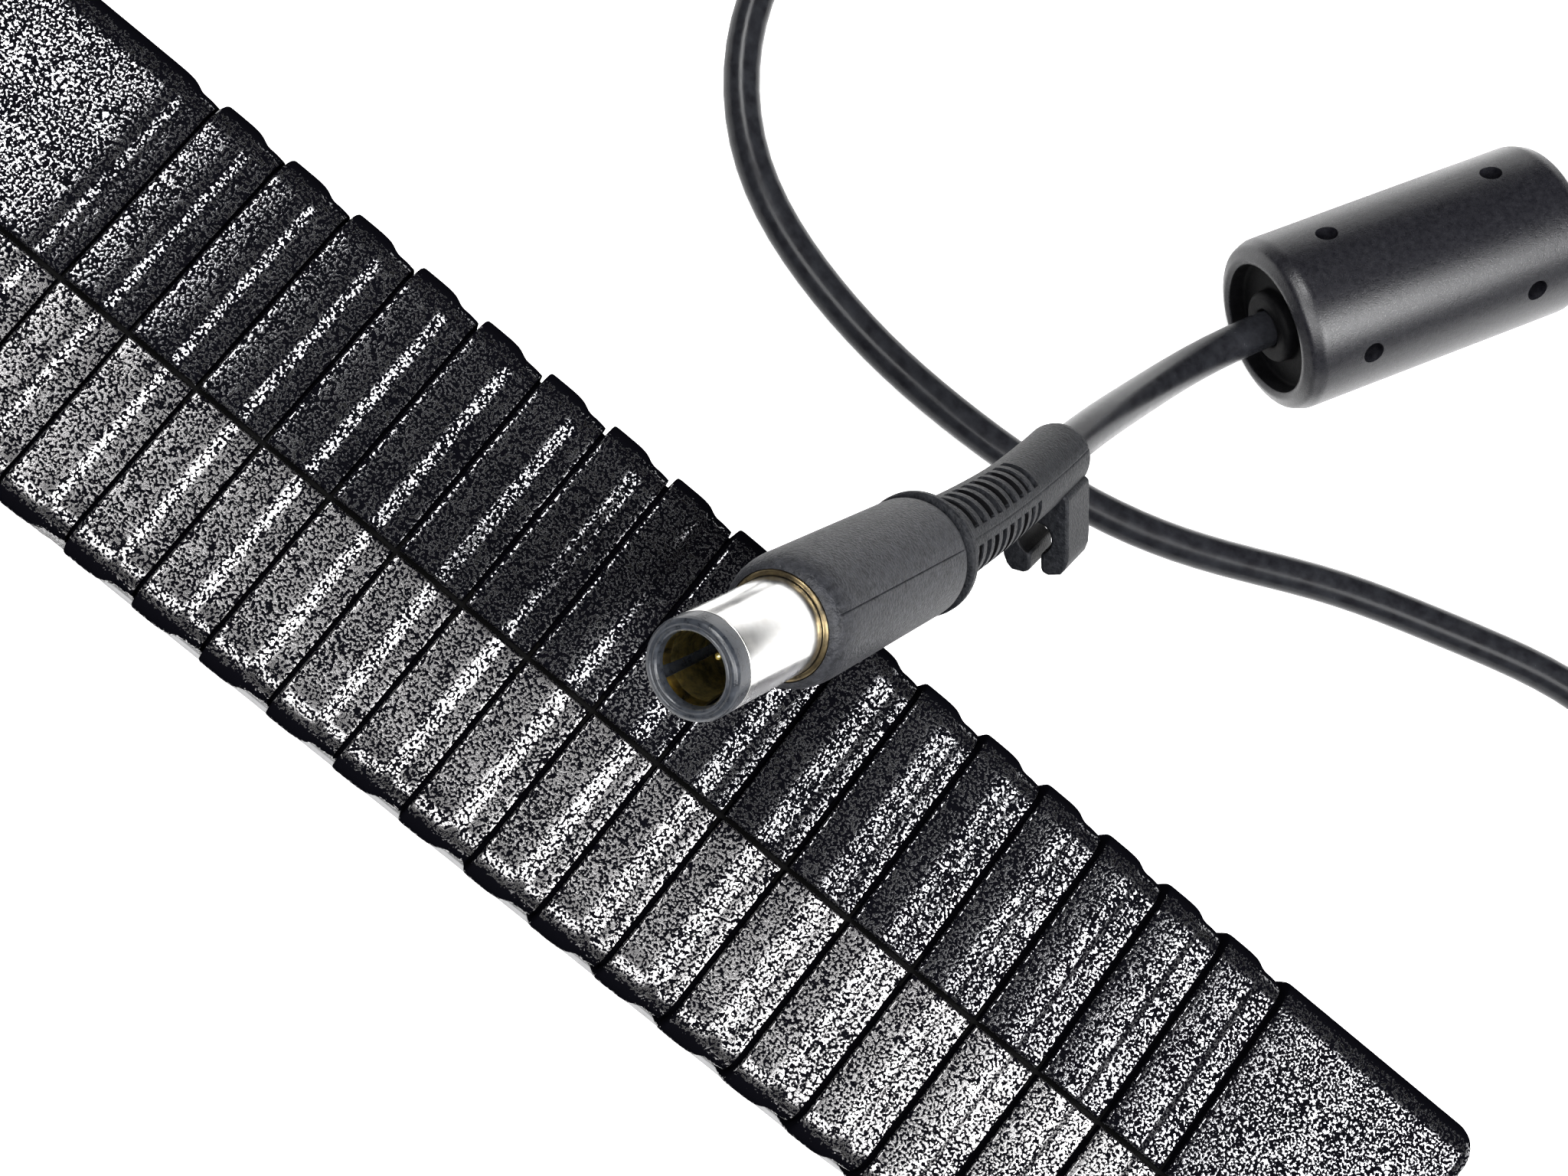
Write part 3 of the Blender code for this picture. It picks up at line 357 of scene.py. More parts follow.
# Finishes of the carried-over pieces, by the record's material slot
PLAIN = {
    "insulating_film": ((0.72, 0.71, 0.64), (0.6, 0.59, 0.52), 0.5, 3.0),
    "yellow_tape": ((0.75, 0.58, 0.06), (0.62, 0.45, 0.04), 0.35, 4.0),
    "capacitor_sleeve": ((0.02, 0.035, 0.11), (0.03, 0.05, 0.15), 0.25),
    "component_resin": ((0.018, 0.018, 0.019), (0.035, 0.035, 0.037), 0.5),
    "blue_resin": ((0.03, 0.15, 0.5), (0.02, 0.1, 0.38), 0.3),
    "grey_box": ((0.5, 0.51, 0.5), (0.42, 0.43, 0.42), 0.45),
    "label_film": ((0.2, 0.2, 0.205), (0.16, 0.16, 0.165), 0.45, 2.0),
    "ferrite_ceramic": ((0.05, 0.05, 0.056), (0.1, 0.1, 0.11), 0.6, 0.6),
    "brown_insulation": ((0.2, 0.08, 0.03), (0.14, 0.05, 0.02), 0.4),
    "blue_insulation": ((0.02, 0.12, 0.45), (0.02, 0.09, 0.34), 0.4),
    "green_insulation": ((0.08, 0.34, 0.06), (0.5, 0.45, 0.03), 0.4),
    "red_insulation": ((0.5, 0.03, 0.02), (0.4, 0.02, 0.02), 0.4),
}
SLOT_PAINTS = {name: simple(name, *look) for name, look in PLAIN.items()}
SLOT_PAINTS.update({
    "board_laminate": board(),
    "copper_winding": wound("copper_winding", (0.6, 0.26, 0.12), (0.16, 0.05, 0.02), "Z"),
    "aluminium": metal("aluminium", (0.76, 0.77, 0.78), 0.36, brushed=1.0),
    "nickel": NICKEL,
    "brass": BRASS,
    "black_plastic": INLET_PLASTIC,
    "case_plastic": CASE_LOWER_LIT,
    "cord_jacket": JACKET,
    "soft_overmould": SOFT,
    "tie_strap": TIE,
})


# ---------------------------------------------------------------- mesh helpers

def add(name, mesh, paint, flat=None):
    thing = bpy.data.objects.new(name, mesh)
    bpy.context.scene.collection.objects.link(thing)
    mesh.materials.append(paint)
    if flat is not None:
        mesh.shade_smooth()
        mesh.set_sharp_from_angle(angle=math.radians(flat))
    return thing


def stand_in(thing, *nodes):
    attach(thing, "root")
    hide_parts(*nodes)
    return thing


def lattice(name, points, paint, wrap=False, ends="none", flat=40.0):
    """A surface through rows of points in millimetres. wrap joins each row's ends, and ends
    may be filled, or joined last to first to make a ring."""
    points = np.asarray(points, float) * MM
    rows, cols = points.shape[:2]
    grid = np.arange(rows * cols).reshape(rows, cols)
    low, high = (grid, np.roll(grid, -1, 0)) if ends == "ring" else (grid[:-1], grid[1:])
    if wrap:
        quads = np.stack([low, np.roll(low, -1, 1), np.roll(high, -1, 1), high], -1)
    else:
        quads = np.stack([low[:, :-1], low[:, 1:], high[:, 1:], high[:, :-1]], -1)
    faces = quads.reshape(-1, 4).tolist()
    if ends == "filled":
        faces += [grid[0][::-1].tolist(), grid[-1].tolist()]
    mesh = bpy.data.meshes.new(name)
    mesh.from_pydata(points.reshape(-1, 3).tolist(), [], faces)
    form = bmesh.new()
    form.from_mesh(mesh)
    bmesh.ops.recalc_face_normals(form, faces=form.faces)
    form.to_mesh(mesh)
    form.free()
    return add(name, mesh, paint, flat)


def arc(centre_x, centre_y, radius, start, end, steps):
    """Points along an arc, with its angles in degrees."""
    angles = [math.radians(start + (end - start) * i / steps) for i in range(steps + 1)]
    return [(centre_x + radius * math.cos(a), centre_y + radius * math.sin(a)) for a in angles]


def rounded(profile, radius, steps=4):
    """A closed (radius, height) outline with its corners rounded."""
    points = [Vector((r, h)) for r, h in profile]
    count = len(points)
    made = []
    for i, here in enumerate(points):
        before, after = points[i - 1] - here, points[(i + 1) % count] - here
        reach = min(radius, before.length * 0.45, after.length * 0.45)
        if here.x < 1e-6 or reach < 0.01:
            made.append(tuple(here))
            continue
        a, b = here + before.normalized() * reach, here + after.normalized() * reach
        for k in range(steps + 1):
            t = k / steps
            p = a * (1 - t) ** 2 + here * 2 * t * (1 - t) + b * t * t
            made.append((p.x, p.y))
    return made


def turned(name, profile, paint, place, edge=0.08, segments=96, solid=False):
    """A body of revolution about its own Z, set in place."""
    outline = rounded(profile, edge)
    around = np.linspace(0.0, 2 * math.pi, segments, endpoint=False)
    rows = []
    for r, h in outline:
        r = max(r, 0.0005)       # a point on the axis becomes a tiny ring
        rows.append(np.stack([r * np.cos(around), r * np.sin(around), np.full(segments, h)], -1))
    thing = lattice(name, rows, paint, wrap=True, ends="filled" if solid else "ring")
    thing.matrix_world = place
    return thing


def along(base, axis, roll=0.0):
    """A place whose own +Z points along axis from base, given in millimetres."""
    turn = Vector(axis).to_track_quat("Z", "Y").to_matrix().to_4x4()
    return Matrix.Translation(Vector(base) * MM) @ turn @ Matrix.Rotation(roll, 4, "Z")


def smooth_route(points, step):
    """Points about a step apart on the smooth curve through the route's points."""
    p = [Vector(q) for q in points]
    ends = [2 * p[0] - p[1]] + p + [2 * p[-1] - p[-2]]
    fine = []
    for a, b, c, d in zip(ends, ends[1:], ends[2:], ends[3:]):
        for i in range(24):
            t = i / 24
            fine.append(0.5 * (2 * b + (c - a) * t + (2 * a - 5 * b + 4 * c - d) * t * t
                               + (3 * b - a - 3 * c + d) * t ** 3))
    fine.append(p[-1])
    total = sum((q - r).length for r, q in zip(fine, fine[1:]))
    spacing = total / max(2, round(total / step))
    kept, walked, due = [fine[0]], 0.0, spacing
    for q, r in zip(fine, fine[1:]):
        walked += (r - q).length
        if walked >= due - 1e-6 and r is not fine[-1]:
            kept.append(r)
            due += spacing
    if (kept[-1] - fine[-1]).length < spacing / 2:
        kept.pop()
    return kept + [fine[-1]]


def settle(points, rounds):
    """Even out small kinks in a run of points, leaving its two ends."""
    p = np.array([list(q) for q in points])
    for _ in range(rounds):
        p[1:-1] = 0.25 * p[:-2] + 0.5 * p[1:-1] + 0.25 * p[2:]
    return [Vector(q) for q in p]


# ---------------------------------------------------------------- the DC lead

ROUTE_TO_COIL = [
    (95.0, -1.5, 26.0), (97.3, -1.5, 26.0), (104.4, -0.6, 25.8), (111.5, 3.6, 25.2),
    (116.6, 11.5, 24.1), (118.6, 22.0, 22.4), (117.2, 33.5, 20.0), (112.2, 44.4, 17.1),
    (103.8, 54.0, 13.9), (93.0, 61.2, 10.9), (81.6, 65.4, 8.8), (72.3, 65.6, 7.6),
    (60.9, 62.8, 5.3), (49.6, 59.5, 3.2), (39.7, 54.8, 2.1), (32.0, 51.6, FLOOR_HEIGHT),
    (24.2, 49.6, FLOOR_HEIGHT), (15.4, 48.4, FLOOR_HEIGHT), (2.9, 48.0, FLOOR_HEIGHT),
    (-5.1, 48.8, FLOOR_HEIGHT), (-9.8, 49.7, FLOOR_HEIGHT), (-16.1, 51.5, FLOOR_HEIGHT),
    (-22.4, 54.8, FLOOR_HEIGHT), (-27.8, 60.2, FLOOR_HEIGHT), (-31.2, 66.2, FLOOR_HEIGHT),
    (-33.2, 73.6, FLOOR_HEIGHT), (-33.0, 82.0, 1.9), (-32.6, 88.0, 2.2),
]
ROUTE_TO_PLUG = [
    (-32.6, 80.6, 8.4), (-25.4, 87.0, 6.2), (-16.2, 94.8, 3.6),
    (-6.4, 103.4, FLOOR_HEIGHT), (3.6, 112.3, FLOOR_HEIGHT), (13.6, 121.4, FLOOR_HEIGHT),
    (23.4, 130.4, FLOOR_HEIGHT), (32.8, 137.6, FLOOR_HEIGHT), (42.8, 141.0, FLOOR_HEIGHT),
    (51.8, 137.4, FLOOR_HEIGHT), (55.6, 129.0, 2.4), (53.8, 119.6, 4.6), (50.0, 112.4, 7.4),
]
ROUTE_PAST_FERRITE = [
    (24.6, 67.9, 9.5), (22.8, 63.6, 11.3), (21.2, 59.3, 14.7), (19.5, 54.7, 19.2),
    (17.8, 50.1, 24.0), (16.4, 46.1, 27.9),
]


def ferrite_axis():
    return Vector((math.cos(FERRITE_HEADING), math.sin(FERRITE_HEADING), 0.0))


def coil_turns():
    """The put-away length: columns of turns in, out and in again, one layer on another, then
    part of a turn over the top to where the lead leaves."""
    inner, column, layer, base = 17.3, 3.7, 3.65, 3.45
    over_the_top = 8.6
    spots = []
    for level in range(3):
        columns = (2, 1, 0) if level % 2 == 0 else (0, 1, 2)
        spots += [(inner + column * c, base + layer * level) for c in columns]
    points = []
    full = len(spots)
    first = math.radians(-12.0)
    last = full + math.radians(318.0) / (2 * math.pi)
    steps = 26
    for i in range(int(last * steps) + 1):
        turns = i / steps
        k = min(int(turns), full - 1)
        r, z = spots[k]
        if k < full - 1:
            nr, nz = spots[k + 1]
            t = max(0.0, (turns - k - 0.7) / 0.3)
            t = t * t * (3 - 2 * t)
            r, z = r + (nr - r) * t, z + (nz - z) * t
        if turns > full:
            t = min(1.0, (turns - full) / (last - full))
            s = t * t * (3 - 2 * t)
            r = inner + over_the_top * s
            z = base + layer * 2 + 2.0 * math.sin(math.pi * min(1.0, t * 1.25)) - 1.2 * s
        a = first + 2 * math.pi * turns
        points.append(COIL_CENTRE + Vector((r * math.cos(a), r * math.sin(a), z)))
    return points


def dc_lead():
    """The whole lead as one curve, from the gland through the coil and ferrite to the plug."""
    start = smooth_route(ROUTE_TO_COIL, 3.0)
    coil = coil_turns()
    half = FERRITE_HALF
    through = [FERRITE_CENTRE + ferrite_axis() * d for d in (half + 6, half + 1, 0, -half - 1)]
    rest = smooth_route(ROUTE_TO_PLUG + through + ROUTE_PAST_FERRITE + [TAIL], 3.0)
    joined = smooth_route(start[:-2] + coil[2:-1] + rest[1:], 2.4)
    points = settle(joined, 6)
    points[0], points[-1] = Vector(ROUTE_TO_COIL[0]), TAIL.copy()
    line = bpy.data.curves.new("dc_lead", "CURVE")
    line.dimensions = "3D"
    line.bevel_depth = CORD_RADIUS * MM
    line.bevel_resolution = 6
    line.use_fill_caps = True
    spline = line.splines.new("POLY")
    spline.points.add(len(points) - 1)
    for point, place in zip(spline.points, points):
        point.co = (*(place * MM), 1.0)
    spline.use_smooth = True
    thing = bpy.data.objects.new("dc_lead", line)
    bpy.context.scene.collection.objects.link(thing)
    line.materials.append(JACKET)
    stand_in(thing, "cord_to_coil", "cord_coil", "cord_to_plug")
    return thing


LEAD = dc_lead()


# ---------------------------------------------------------------- case shells

# One rib as (share of its pitch, inset): the groove, then the rise, flat and slope of the lap
RIB_PROFILE = [
    (0.0, 0.62), (0.006, 0.66), (0.011, 0.8), (0.015, 1.05), (0.055, 1.05), (0.059, 0.6),
    (0.063, 0.3), (0.068, 0.14), (0.078, 0.06), (0.09, 0.025), (0.11, 0.008), (0.14, 0.0),
    (0.24, 0.0), (0.34, 0.002), (0.42, 0.008), (0.47, 0.02), (0.51, 0.04), (0.55, 0.07),
    (0.585, 0.11), (0.61, 0.155), (0.63, 0.205), (0.65, 0.26), (0.67, 0.315), (0.69, 0.37),
    (0.71, 0.415), (0.73, 0.45), (0.755, 0.48), (0.78, 0.495), (0.82, 0.5), (0.86, 0.51),
    (0.91, 0.54), (0.96, 0.58), (0.99, 0.605),
]
RIB_DEPTH = 0.6
DRAFT = 0.6
BASE_LEAN = 0.85             # how far the broad faces draw in at the foot
LEAN_HEIGHT = 13.0
END_RADIUS = 2.0
LONG_RADIUS = 3.0
PARTING_GAP = 0.16
WALL = 1.5
CORNER_STEPS = 8


def stations():
    """Places along the case as (x, rib inset, end inset)."""
    tips = []
    for i in range(CORNER_STEPS + 1):
        turn = math.pi / 2 * i / CORNER_STEPS
        x = HALF_LENGTH - END_RADIUS * (1 - math.sin(turn))
        tips.append((x, 0.0, END_RADIUS * (1 - math.cos(turn))))
    made = [(-x, rib, end) for x, rib, end in reversed(tips)]
    made += [(x, 0.0, 0.0) for x in (-66.0, -62.0, -58.0)]
    for k in range(-1, RIB_COUNT):
        shape = [row for row in RIB_PROFILE if k >= 0 or row[0] > 0.2]
        made += [(RIB_START + (k + u) * RIB_PITCH, inset, 0.0) for u, inset in shape]
    made += [(-RIB_START + u * RIB_PITCH, inset, 0.0) for u, inset in RIB_PROFILE[:12]]
    made += [(x, 0.0, 0.0) for x in (55.0, 60.0, 65.0)]
    return made + tips


def half_outline(side):
    """One half's outline from the parting line under the case, round its broad face, to the
    parting line on top: (y, z, normal y, normal z, rib weight, draft share, body inset)."""
    start = PARTING_Y + side * PARTING_GAP
    edge = HALF_THICKNESS - LONG_RADIUS
    flat = abs(edge - side * start)
    lower = []
    for t in (0.0, 0.006, 0.014, 0.025, 0.06, 0.12, 0.22, 0.34, 0.46, 0.58, 0.7, 0.82, 0.92, 1.0):
        y = start + side * flat * t
        fillet = 0.2 * max(0.0, 1 - t / 0.02) ** 2
        lower.append((y, fillet, 0.0, -1.0, 1.0, t, 0.0))
    for i in range(1, CORNER_STEPS + 1):
        a = math.pi / 2 * i / CORNER_STEPS
        y = side * (edge + LONG_RADIUS * math.sin(a))
        z = LONG_RADIUS * (1 - math.cos(a))
        lower.append((y, z, side * math.sin(a), -math.cos(a), 1.0, 1.0 - i / CORNER_STEPS, 0.0))
    face = side * HALF_THICKNESS
    for i in range(1, CORNER_STEPS + 1):
        t = i / CORNER_STEPS
        w = 1 - t * t * (3 - 2 * t)
        z = LONG_RADIUS + 7.5 * t
        lower.append((face, z, side, 0.0, w, 0.0, RIB_DEPTH * (1 - w)))
    heights = (14.0, 19.0, 26.0, 33.0, 38.0)
    middle = [(face, z, side, 0.0, 0.0, 0.0, RIB_DEPTH) for z in heights]
    upper = [(y, WIDTH - z, ny, -nz, w, d, b) for y, z, ny, nz, w, d, b in reversed(lower)]
    return np.array(lower + middle + upper)


def trefoil(offset, count=90):
    """The three-lobed outline of the mains inlet, offset outwards."""
    points = []
    for i in range(count):
        a = 2 * math.pi * i / count
        r = 7.0 + offset + 0.9 * math.cos(3 * (a - math.pi / 2))
        points.append((PARTING_Y + r * math.sin(a), MID_Z + r * math.cos(a)))
    return points


def disc(radius, count=48):
    """The round outline of the hole for the gland."""
    turns = [2 * math.pi * i / count for i in range(count)]
    return [(PARTING_Y + radius * math.sin(a), MID_Z + radius * math.cos(a)) for a in turns]


def shell(name, side, paint):
    """A case half: the ribbed skin and its end walls, notched for the inlet and the gland."""
    outline = half_outline(side)
    y, z, ny, nz, weight, draft, body = outline.T
    rows = []
    for x, rib, end in stations():
        inset = rib * weight + body + end + DRAFT * draft * np.abs(nz)
        inset += BASE_LEAN * np.clip(1.0 - z / LEAN_HEIGHT, 0.0, 1.0) * np.abs(ny)
        rows.append(np.stack([np.full(len(y), x), y - ny * inset, z - nz * inset], -1))
    points = np.array(rows)
    points[:, 0, 1] = points[:, -1, 1] = PARTING_Y + side * PARTING_GAP
    thing = lattice(name, points, paint, flat=28.0)
    form = bmesh.new()
    form.from_mesh(thing.data)
    form.verts.ensure_lookup_table()
    skin = list(form.verts)
    cols = len(y)
    parting = (PARTING_Y + side * PARTING_GAP) * MM
    walls = ((0, -HALF_LENGTH, trefoil(1.9)), (len(rows) - 1, HALF_LENGTH, disc(3.9)))
    for row, x, notch in walls:
        ring = skin[row * cols:(row + 1) * cols]
        bite = [(py, pz) for py, pz in notch if side * (py - PARTING_Y) > 0.25]
        order = sorted(bite, key=lambda q: math.atan2(side * (q[0] - PARTING_Y), q[1] - MID_Z))
        level = [q[1] for q in notch if abs(q[0] - PARTING_Y) < 1.2]
        top, bottom = max(level), min(level)
        extra = [form.verts.new((x * MM, parting, top * MM))]
        extra += [form.verts.new((x * MM, py * MM, pz * MM)) for py, pz in order]
        extra += [form.verts.new((x * MM, parting, bottom * MM))]
        form.faces.new(ring + extra)
    bmesh.ops.recalc_face_normals(form, faces=form.faces)
    form.to_mesh(thing.data)
    form.free()
    thing.data.shade_smooth()
    thing.data.set_sharp_from_angle(angle=math.radians(28.0))
    end_walls = [face for face in thing.data.polygons if len(face.vertices) > 20]
    for face in end_walls:
        for i in face.loop_indices:
            thing.data.edges[thing.data.loops[i].edge_index].use_edge_sharp = True
    mod = thing.modifiers.new("wall", "SOLIDIFY")
    mod.thickness = WALL * MM
    mod.offset = -1.0
    return thing


def tongue():
    """The lower half's tongue, which stands behind the parting line all round, with gaps at
    the inlet and the gland."""
    low, high = PARTING_Y - 1.4, PARTING_Y + 1.4
    bars = [(-69.6, 69.6, WIDTH - 2.1, WIDTH - 1.0), (-69.6, 69.6, 1.0, 2.1),
            (-70.4, -69.4, 36.6, 50.5), (-70.4, -69.4, 1.5, 15.4),
            (69.4, 70.4, 30.4, 50.5), (69.4, 70.4, 1.5, 21.6)]
    form = bmesh.new()
    for x0, x1, z0, z1 in bars:
        made = bmesh.ops.create_cube(form, size=MM)["verts"]
        middle = Vector(((x0 + x1) / 2, (low + high) / 2, (z0 + z1) / 2))
        bmesh.ops.scale(form, vec=(x1 - x0, high - low, z1 - z0), verts=made)
        bmesh.ops.translate(form, vec=middle * MM, verts=made)
    mesh = bpy.data.meshes.new("parting_tongue")
    form.to_mesh(mesh)
    form.free()
    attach(add("parting_tongue", mesh, DARK), "root")


def label():
    """A thin blank plate with rounded corners, just proud of the shallow half's broad face."""
    face = RIB_DEPTH - HALF_THICKNESS
    half_long, half_high, radius = 37.5, 10.5, 2.5
    outline = []
    for sx, sz, begin in ((1, 1, 0), (-1, 1, 90), (-1, -1, 180), (1, -1, 270)):
        outline += arc(sx * half_long, MID_Z + sz * half_high, radius, begin, begin + 90, 8)
    rows = []
    for y, inset in ((face + 0.2, 0.0), (face - 0.06, 0.0), (face - 0.1, 0.06)):
        across, up = inset / (half_long + radius), inset / (half_high + radius)
        rows.append([(x - across * x, y, z - up * (z - MID_Z)) for x, z in outline])
    plate = lattice("rating_plate", rows, SLOT_PAINTS["label_film"], wrap=True, ends="filled")
    stand_in(plate, "rating_label")


stand_in(shell("upper_case", 1.0, CASE_UPPER_SHADED), "upper_shell")
stand_in(shell("lower_case", -1.0, CASE_LOWER_LIT), "lower_shell")
tongue()
label()


# ---------------------------------------------------------------- gland, ferrite, tie

def gland():
    """The lead's ringed sleeve, with a flange on each side of the end wall."""
    wall_in, wall_out = HALF_LENGTH - 2.3, HALF_LENGTH + 0.3
    profile = [(0.0, wall_in - 1.8), (5.2, wall_in - 1.8), (5.2, wall_in), (3.6, wall_in),
               (3.6, wall_out), (4.8, wall_out), (4.8, wall_out + 1.3), (4.0, wall_out + 1.8)]
    start, grooves = wall_out + 4.0, 6
    pitch = (GLAND_TIP - 2.5 - start) / grooves
    for i in range(grooves):
        x = start + i * pitch
        r = 3.95 - 0.16 * i
        profile += [(r, x), (r - 0.6, x + 0.2), (r - 0.6, x + 1.1), (r - 0.06, x + 1.3)]
    profile += [(2.7, GLAND_TIP - 0.6), (2.3, GLAND_TIP), (0.0, GLAND_TIP)]
    place = along((0, PARTING_Y, MID_Z), (1, 0, 0))
    stand_in(turned("dc_strain_sleeve", profile, SOFT, place, 0.16, 72, solid=True), "dc_gland")


def ferrite():
    """The moulded cover with its recessed ends and the eight small holes round it."""
    half, outer, bore = FERRITE_HALF, FERRITE_RADIUS, CORD_RADIUS + 0.12
    rim, boss = 6.5, 3.6
    recess = half - 1.9
    upper = [(bore, half - 0.3), (boss - 0.35, half - 0.3), (boss, half - 0.7), (boss, recess),
             (rim, recess), (rim, half - 0.2), (rim + 0.4, half), (outer - 1.5, half),
             (outer - 0.45, half - 0.45), (outer, half - 1.6)]
    lower = [(r, -h) for r, h in reversed(upper)]
    axis, up = ferrite_axis(), Vector((0, 0, 1))
    lying = along(FERRITE_CENTRE, axis)
    cover = turned("ferrite_overmould", upper + lower, FERRITE_SKIN, lying, 0.35, 160)
    side = axis.cross(up)
    holes = bmesh.new()
    for reach in (-9.2, 9.2):
        for turn in (45, 135, 225, 315):
            out = side * math.cos(math.radians(turn)) + up * math.sin(math.radians(turn))
            place = along(FERRITE_CENTRE + axis * reach + out * (outer - 0.4), out)
            bmesh.ops.create_cone(holes, cap_ends=True, segments=28, radius1=0.95 * MM,
                                  radius2=1.15 * MM, depth=2.4 * MM, matrix=place)
    mesh = bpy.data.meshes.new("ferrite_holes")
    holes.to_mesh(mesh)
    holes.free()
    cutter = bpy.data.objects.new("ferrite_holes", mesh)
    bpy.context.scene.collection.objects.link(cutter)
    cut = cover.modifiers.new("holes", "BOOLEAN")
    cut.operation = "DIFFERENCE"
    cut.solver = "EXACT"
    cut.object = cutter
    seen = cover.evaluated_get(bpy.context.evaluated_depsgraph_get())
    drilled = bpy.data.meshes.new_from_object(seen)
    cover.modifiers.clear()
    cover.data = drilled
    bpy.data.objects.remove(cutter, do_unlink=True)
    # Painted shade: the recessed ends, the boss face and the hole bottoms take the near-black
    # paint.
    drilled.materials.append(RECESS_SHADE)
    for face in drilled.polygons:
        across = math.hypot(face.center.x, face.center.y) / MM
        shaded_recess = across < rim + 0.05 and abs(face.center.z) / MM < half - 0.1
        shaded_hole_bottom = across < outer - 0.6 and len(face.vertices) > 20
        if shaded_recess or shaded_hole_bottom:
            face.material_index = 1
    drilled.shade_smooth()
    drilled.set_sharp_from_angle(angle=math.radians(35.0))
    stand_in(cover, "ferrite_cover")


def tie():
    """A strap looped round the coil's turns, with rounded corners and soft edges."""
    inner, outer, low, high, radius = 14.1, 26.9, 1.25, 13.4, 2.6
    width, thick, soft = 5.0, 0.5, 0.3
    loop = []
    for cx, cz, begin in ((outer - radius, low + radius, -90), (outer - radius, high - radius, 0),
                          (inner + radius, high - radius, 90), (inner + radius, low + radius, 180)):
        loop += arc(cx, cz, radius, begin, begin + 90, 8)
    loop.append(loop[0])
    section = ((-width, 0.0), (-width + soft, thick), (width - soft, thick), (width, 0.0),
               (width - soft, -thick), (-width + soft, -thick))
    turn = Matrix.Rotation(TIE_ANGLE, 3, "Z")
    rows = []
    for i, (r, z) in enumerate(loop):
        a, b = loop[max(0, i - 1)], loop[min(len(loop) - 1, i + 1)]
        d = Vector((b[0] - a[0], b[1] - a[1])).normalized()
        n = Vector((d.y, -d.x))
        row = []
        for w, h in section:
            q = Vector((r, z)) + n * h
            row.append(COIL_CENTRE + turn @ Vector((q.x, w, q.y)))
        rows.append(row)
    strap = lattice("coil_strap", rows, TIE, wrap=True, ends="filled", flat=50.0)
    sub = strap.modifiers.new("smooth", "SUBSURF")
    sub.levels = 1
    sub.render_levels = 1
    stand_in(strap, "coil_tie")


gland()
ferrite()
tie()


# ---------------------------------------------------------------- plug

def plug_direction():
    """The way the plug's open tip faces."""
    flat = math.sin(PLUG_LEAN)
    x, y = math.cos(PLUG_HEADING), math.sin(PLUG_HEADING)
    return Vector((-flat * x, -flat * y, math.cos(PLUG_LEAN)))


# The plug's own frame has its open end at z = 0 and the rest of it below
PLUG = along(PLUG_TIP, plug_direction(), PLUG_ROLL)
SEAM_AXIS = PLUG.to_3x3() @ Vector((1.0, 0.0, 0.0))
BARREL = 3.5
GRIP_FRONT = 11.0


def grip():
    """The moulded grip with its rounded front and its fine parting line on both sides."""
    e, shoulder = GRIP_FRONT, 2.1
    profile = [(0.01, -e - 3.9), (3.7, -e - 3.9), (3.7, -e - 0.9), (3.96, -e - 0.9),
               (3.96, -e + 0.1), (4.05, -e + 0.08), (4.2, -e - 0.02), (4.38, -e - 0.2),
               (4.55, -e - 0.5), (4.68, -e - 0.9), (4.76, -e - 1.4), (4.81, -e - shoulder)]
    for i in range(1, 60):
        t = i / 60
        profile.append((4.82 - 0.17 * t, -e - shoulder - (GRIP_END - 1.0 - e - shoulder) * t))
    profile += [(4.62, -GRIP_END + 0.7), (4.5, -GRIP_END + 0.25), (4.3, -GRIP_END),
                (0.01, -GRIP_END)]
    around = np.linspace(0.0, 2 * math.pi, 180, endpoint=False)
    fine = np.radians([-1.4, -1.0, -0.7, -0.4, 0.4, 0.7, 1.0, 1.4])
    around = np.sort(np.concatenate([around, fine % (2 * math.pi), fine + math.pi]))
    from_seam = np.abs(np.mod(around + math.pi / 2, math.pi) - math.pi / 2)
    rows = []
    for r, h in profile:
        dip = 0.10 * np.exp(-((from_seam * r / 0.05) ** 2)) if r > 4.55 else 0.0
        x, y = (r - dip) * np.cos(around), (r - dip) * np.sin(around)
        rows.append(np.stack([x, y, np.full(len(around), h)], -1))
    thing = lattice("plug_grip_moulding", rows, SOFT, wrap=True, ends="filled", flat=50.0)
    thing.matrix_world = PLUG
    stand_in(thing, "plug_grip")


def relief_point(t):
    """A point on the relief's bent centre line, t of the way from the grip to its end."""
    start = PLUG_TIP - plug_direction() * RELIEF_START
    knee = start - plug_direction() * (TAIL - start).length / 2
    return start * (1 - t) ** 2 + knee * 2 * t * (1 - t) + TAIL * t * t


def relief_axis(t):
    return (relief_point(min(1.0, t + 0.01)) - relief_point(max(0.0, t - 0.01))).normalized()


